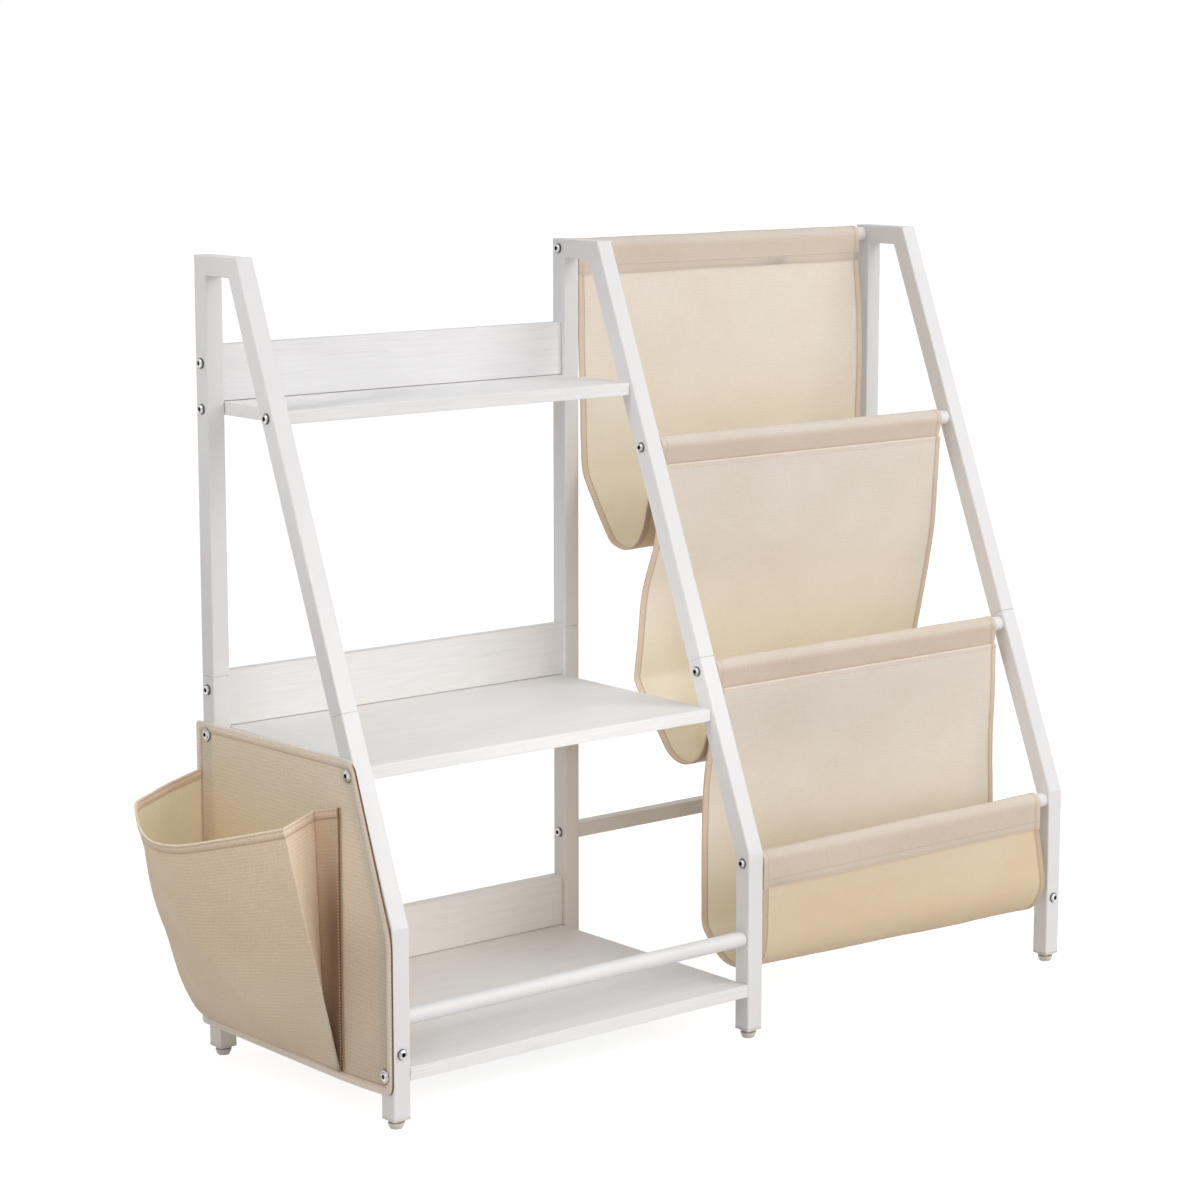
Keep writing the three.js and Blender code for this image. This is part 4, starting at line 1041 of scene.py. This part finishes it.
# folds: a few broad waves that run down and forwards over the belly, and small ones
slant = along - 0.45 * down
fold = sum(height * bell(slant - where, width) for where, width, height in bag["folds"])
small = 0.9 * ripple(along, down, 41, 85.0)
grid = raised(grid, normal, soft * (small + fold * ramp(down, 25, 90)))
normal = surfaceNormals(grid)
outer = bag["cloth"] / 2 + hemProfile(down, bag["mouthHem"], 0.8) - 0.3 * bell(down - 2.4, 0.6)
inner = bag["cloth"] / 2 - 0.3 * bell(down, 0.3) + 0.35 * (1 - ramp(down, 8.2, 9.2))
faces = {1: raised(grid, normal, outer), -1: raised(grid, normal, -inner)}
hem = 1 - ramp(down, bag["mouthHem"] - 0.6, bag["mouthHem"] + 0.3)
sewn = 0.7 * (bell(down - 2.4, 0.5) + bell(down - 7.2, 0.5) + bell(down - 9.3, 0.6))
flat = 0 * down
# frontEdge: painted shade along the front seam, in both the seam mark and the shade mark
frontEdge = bell(along[0, -1] - along, 1.3) + flat
# shade of the pleat behind the gusset's valley, of the gusset before it and of both seams
pleat = (ramp(place, 66.9, 67.05) * (0.4 + 0.6 * ramp(place, 67.0, 67.7)) *
         (0.15 + 0.85 * ramp(down, 0, 120)))
gusset = ramp(place, 66.1, 66.9) * (1 - ramp(place, 66.95, 67.1)) * ramp(down, 40, 200)
paintedShade = np.maximum.reduce([0.8 * pleat, 0.3 * gusset, 0.8 * frontEdge,
                           0.5 * bell(bag["height"] - down, 1.6)])
uv = np.stack(np.broadcast_arrays(along / 1000, down / 1000), -1)
# the inner face gets the painted glow of light that shines through and bounces in the bag; on the
# outer face that colour grows towards the bottom
bagPiece = addPiece(
    "bag_cloth", shellShape(faces[1], faces[-1]), bagCloth, ["pocket_bag"], sharp=35,
    uv=np.concatenate([uv.reshape(-1, 2)] * 2), marks=joined({
        "hem": (hem, hem), "deep": (0.45 * ramp(down, 30, 259), flat + 1),
        "seam": (np.maximum(sewn, frontEdge), sewn), "paintedShade": (paintedShade, flat)}))
seamColumn = np.argmin(np.abs(along[0, -1] - along[0] - 2.6))
mouthRows = [np.argmin(np.abs(down[:, 0] - d)) for d in bag["stitchRows"]]
bagThread = addPiece("bag_thread", gather(
    *[stitchRow(face[row, 1:-1], sign * normal[row, 1:-1]) for sign, face in faces.items()
      for row in mouthRows],
    stitchRow(faces[1][8:-3, seamColumn], normal[8:-3, seamColumn])), thread,
    sharp=60)
print("bag ready")

# Floor and light
stage = {"floor": tone(224, 220, 217), "glow": 0.8, "shadow": tone(190, 190, 190), "world": 0.53}


def emptyTree(owner):
    owner.use_nodes = True
    owner.node_tree.nodes.clear()
    return Wire(owner.node_tree)


def mixByRay(wire, rays, plain, seen, output):
    # the shader seen for rays of the kinds named, and the shader plain for all others
    path = wire.add("LightPath").socket.node.outputs
    share = Wire(wire.tree, path[rays[0]])
    for ray in rays[1:]:
        share = share.calc("MAXIMUM", share, Wire(wire.tree, path[ray]))
    both = wire.add("MixShader", None, {0: share, 1: plain, 2: seen})
    wire.tree.links.new(both.socket, wire.tree.nodes.new(output).inputs["Surface"])


# the camera sees a pale glow with the floor's own shadow on it; the light that reaches the
# object comes from the plain floor
paleFloor = bpy.data.materials.new("paleFloor")
wire = emptyTree(paleFloor)
glow = wire.add("Emission", None, {"Color": (1, 1, 1, 1), "Strength": stage["glow"]})
shade = wire.add("BsdfDiffuse", None, {"Color": stage["shadow"]})
mixByRay(wire, ("Is Camera Ray", "Is Glossy Ray"),
         wire.add("BsdfDiffuse", None, {"Color": stage["floor"]}),
         wire.add("AddShader", None, {0: glow, 1: shade}), "ShaderNodeOutputMaterial")
floorMesh = bpy.data.meshes.new("floor")
floorMesh.from_pydata([(-12, -12, 0), (12, -12, 0), (12, 12, 0), (-12, 12, 0)], [], [(0, 1, 2, 3)])
floorMesh.materials.append(paleFloor)
addObject("floor", floorMesh)

world = bpy.data.worlds.new("studio")
bpy.context.scene.world = world
wire = emptyTree(world)
plain, seen = (wire.add("Background", None, {"Color": (1, 1, 1, 1), "Strength": strength})
               for strength in (stage["world"], 1.0))
mixByRay(wire, ("Is Camera Ray", "Is Glossy Ray", "Is Transmission Ray"), plain, seen,
         "ShaderNodeOutputWorld")


def lamp(name, place, aim, size, power, cone=None):
    data = bpy.data.lights.new(name, "SPOT" if cone else "AREA")
    if cone:
        data.shadow_soft_size, data.spot_size, data.spot_blend = size, np.radians(cone), 1.0
    else:
        data.size = size
    data.energy = power
    made = addObject(name, data)
    made.location = place
    x, y, z = np.array(aim, float) - np.array(place, float)
    turn = np.arctan2(y, x) - np.pi / 2
    made.rotation_euler = (np.arccos(-z / np.linalg.norm((x, y, z))), 0, turn)


lamps = {  # place, aim, size, power and, for a spot, its cone in degrees
    "keyLight": ((1.5, -1.7, 2.0), (0.1, 0, 0.35), 1.6, 22),
    "fillLight": ((0.5, -2.4, 0.8), (-0.1, 0, 0.3), 1.5, 10),
    "leftLight": ((-2.9, -1.1, 1.1), (-0.1, 0, 0.4), 1.6, 6.5),
    "bagLight": ((-1.05, -0.3, 1.55), (-0.58, 0.05, 0.26), 0.25, 12, 19),
    "mouthLight": ((-0.35, -0.8, 1.3), (-0.6, 0.08, 0.24), 0.15, 36, 11),
    "frameLight": ((-1.5, 0.0, 1.5), (-0.01, 0.01, 0.51), 0.25, 66, 15),
    "shelfLight": ((-0.55, -1.5, 1.15), (-0.24, 0.05, 0.08), 0.3, 56, 15),
    "postLight": ((-0.9, -1.3, 0.75), (0.09, 0.15, 0.27), 0.15, 34, 9)}
for name, values in lamps.items():
    lamp(name, *values)
print("stage ready")
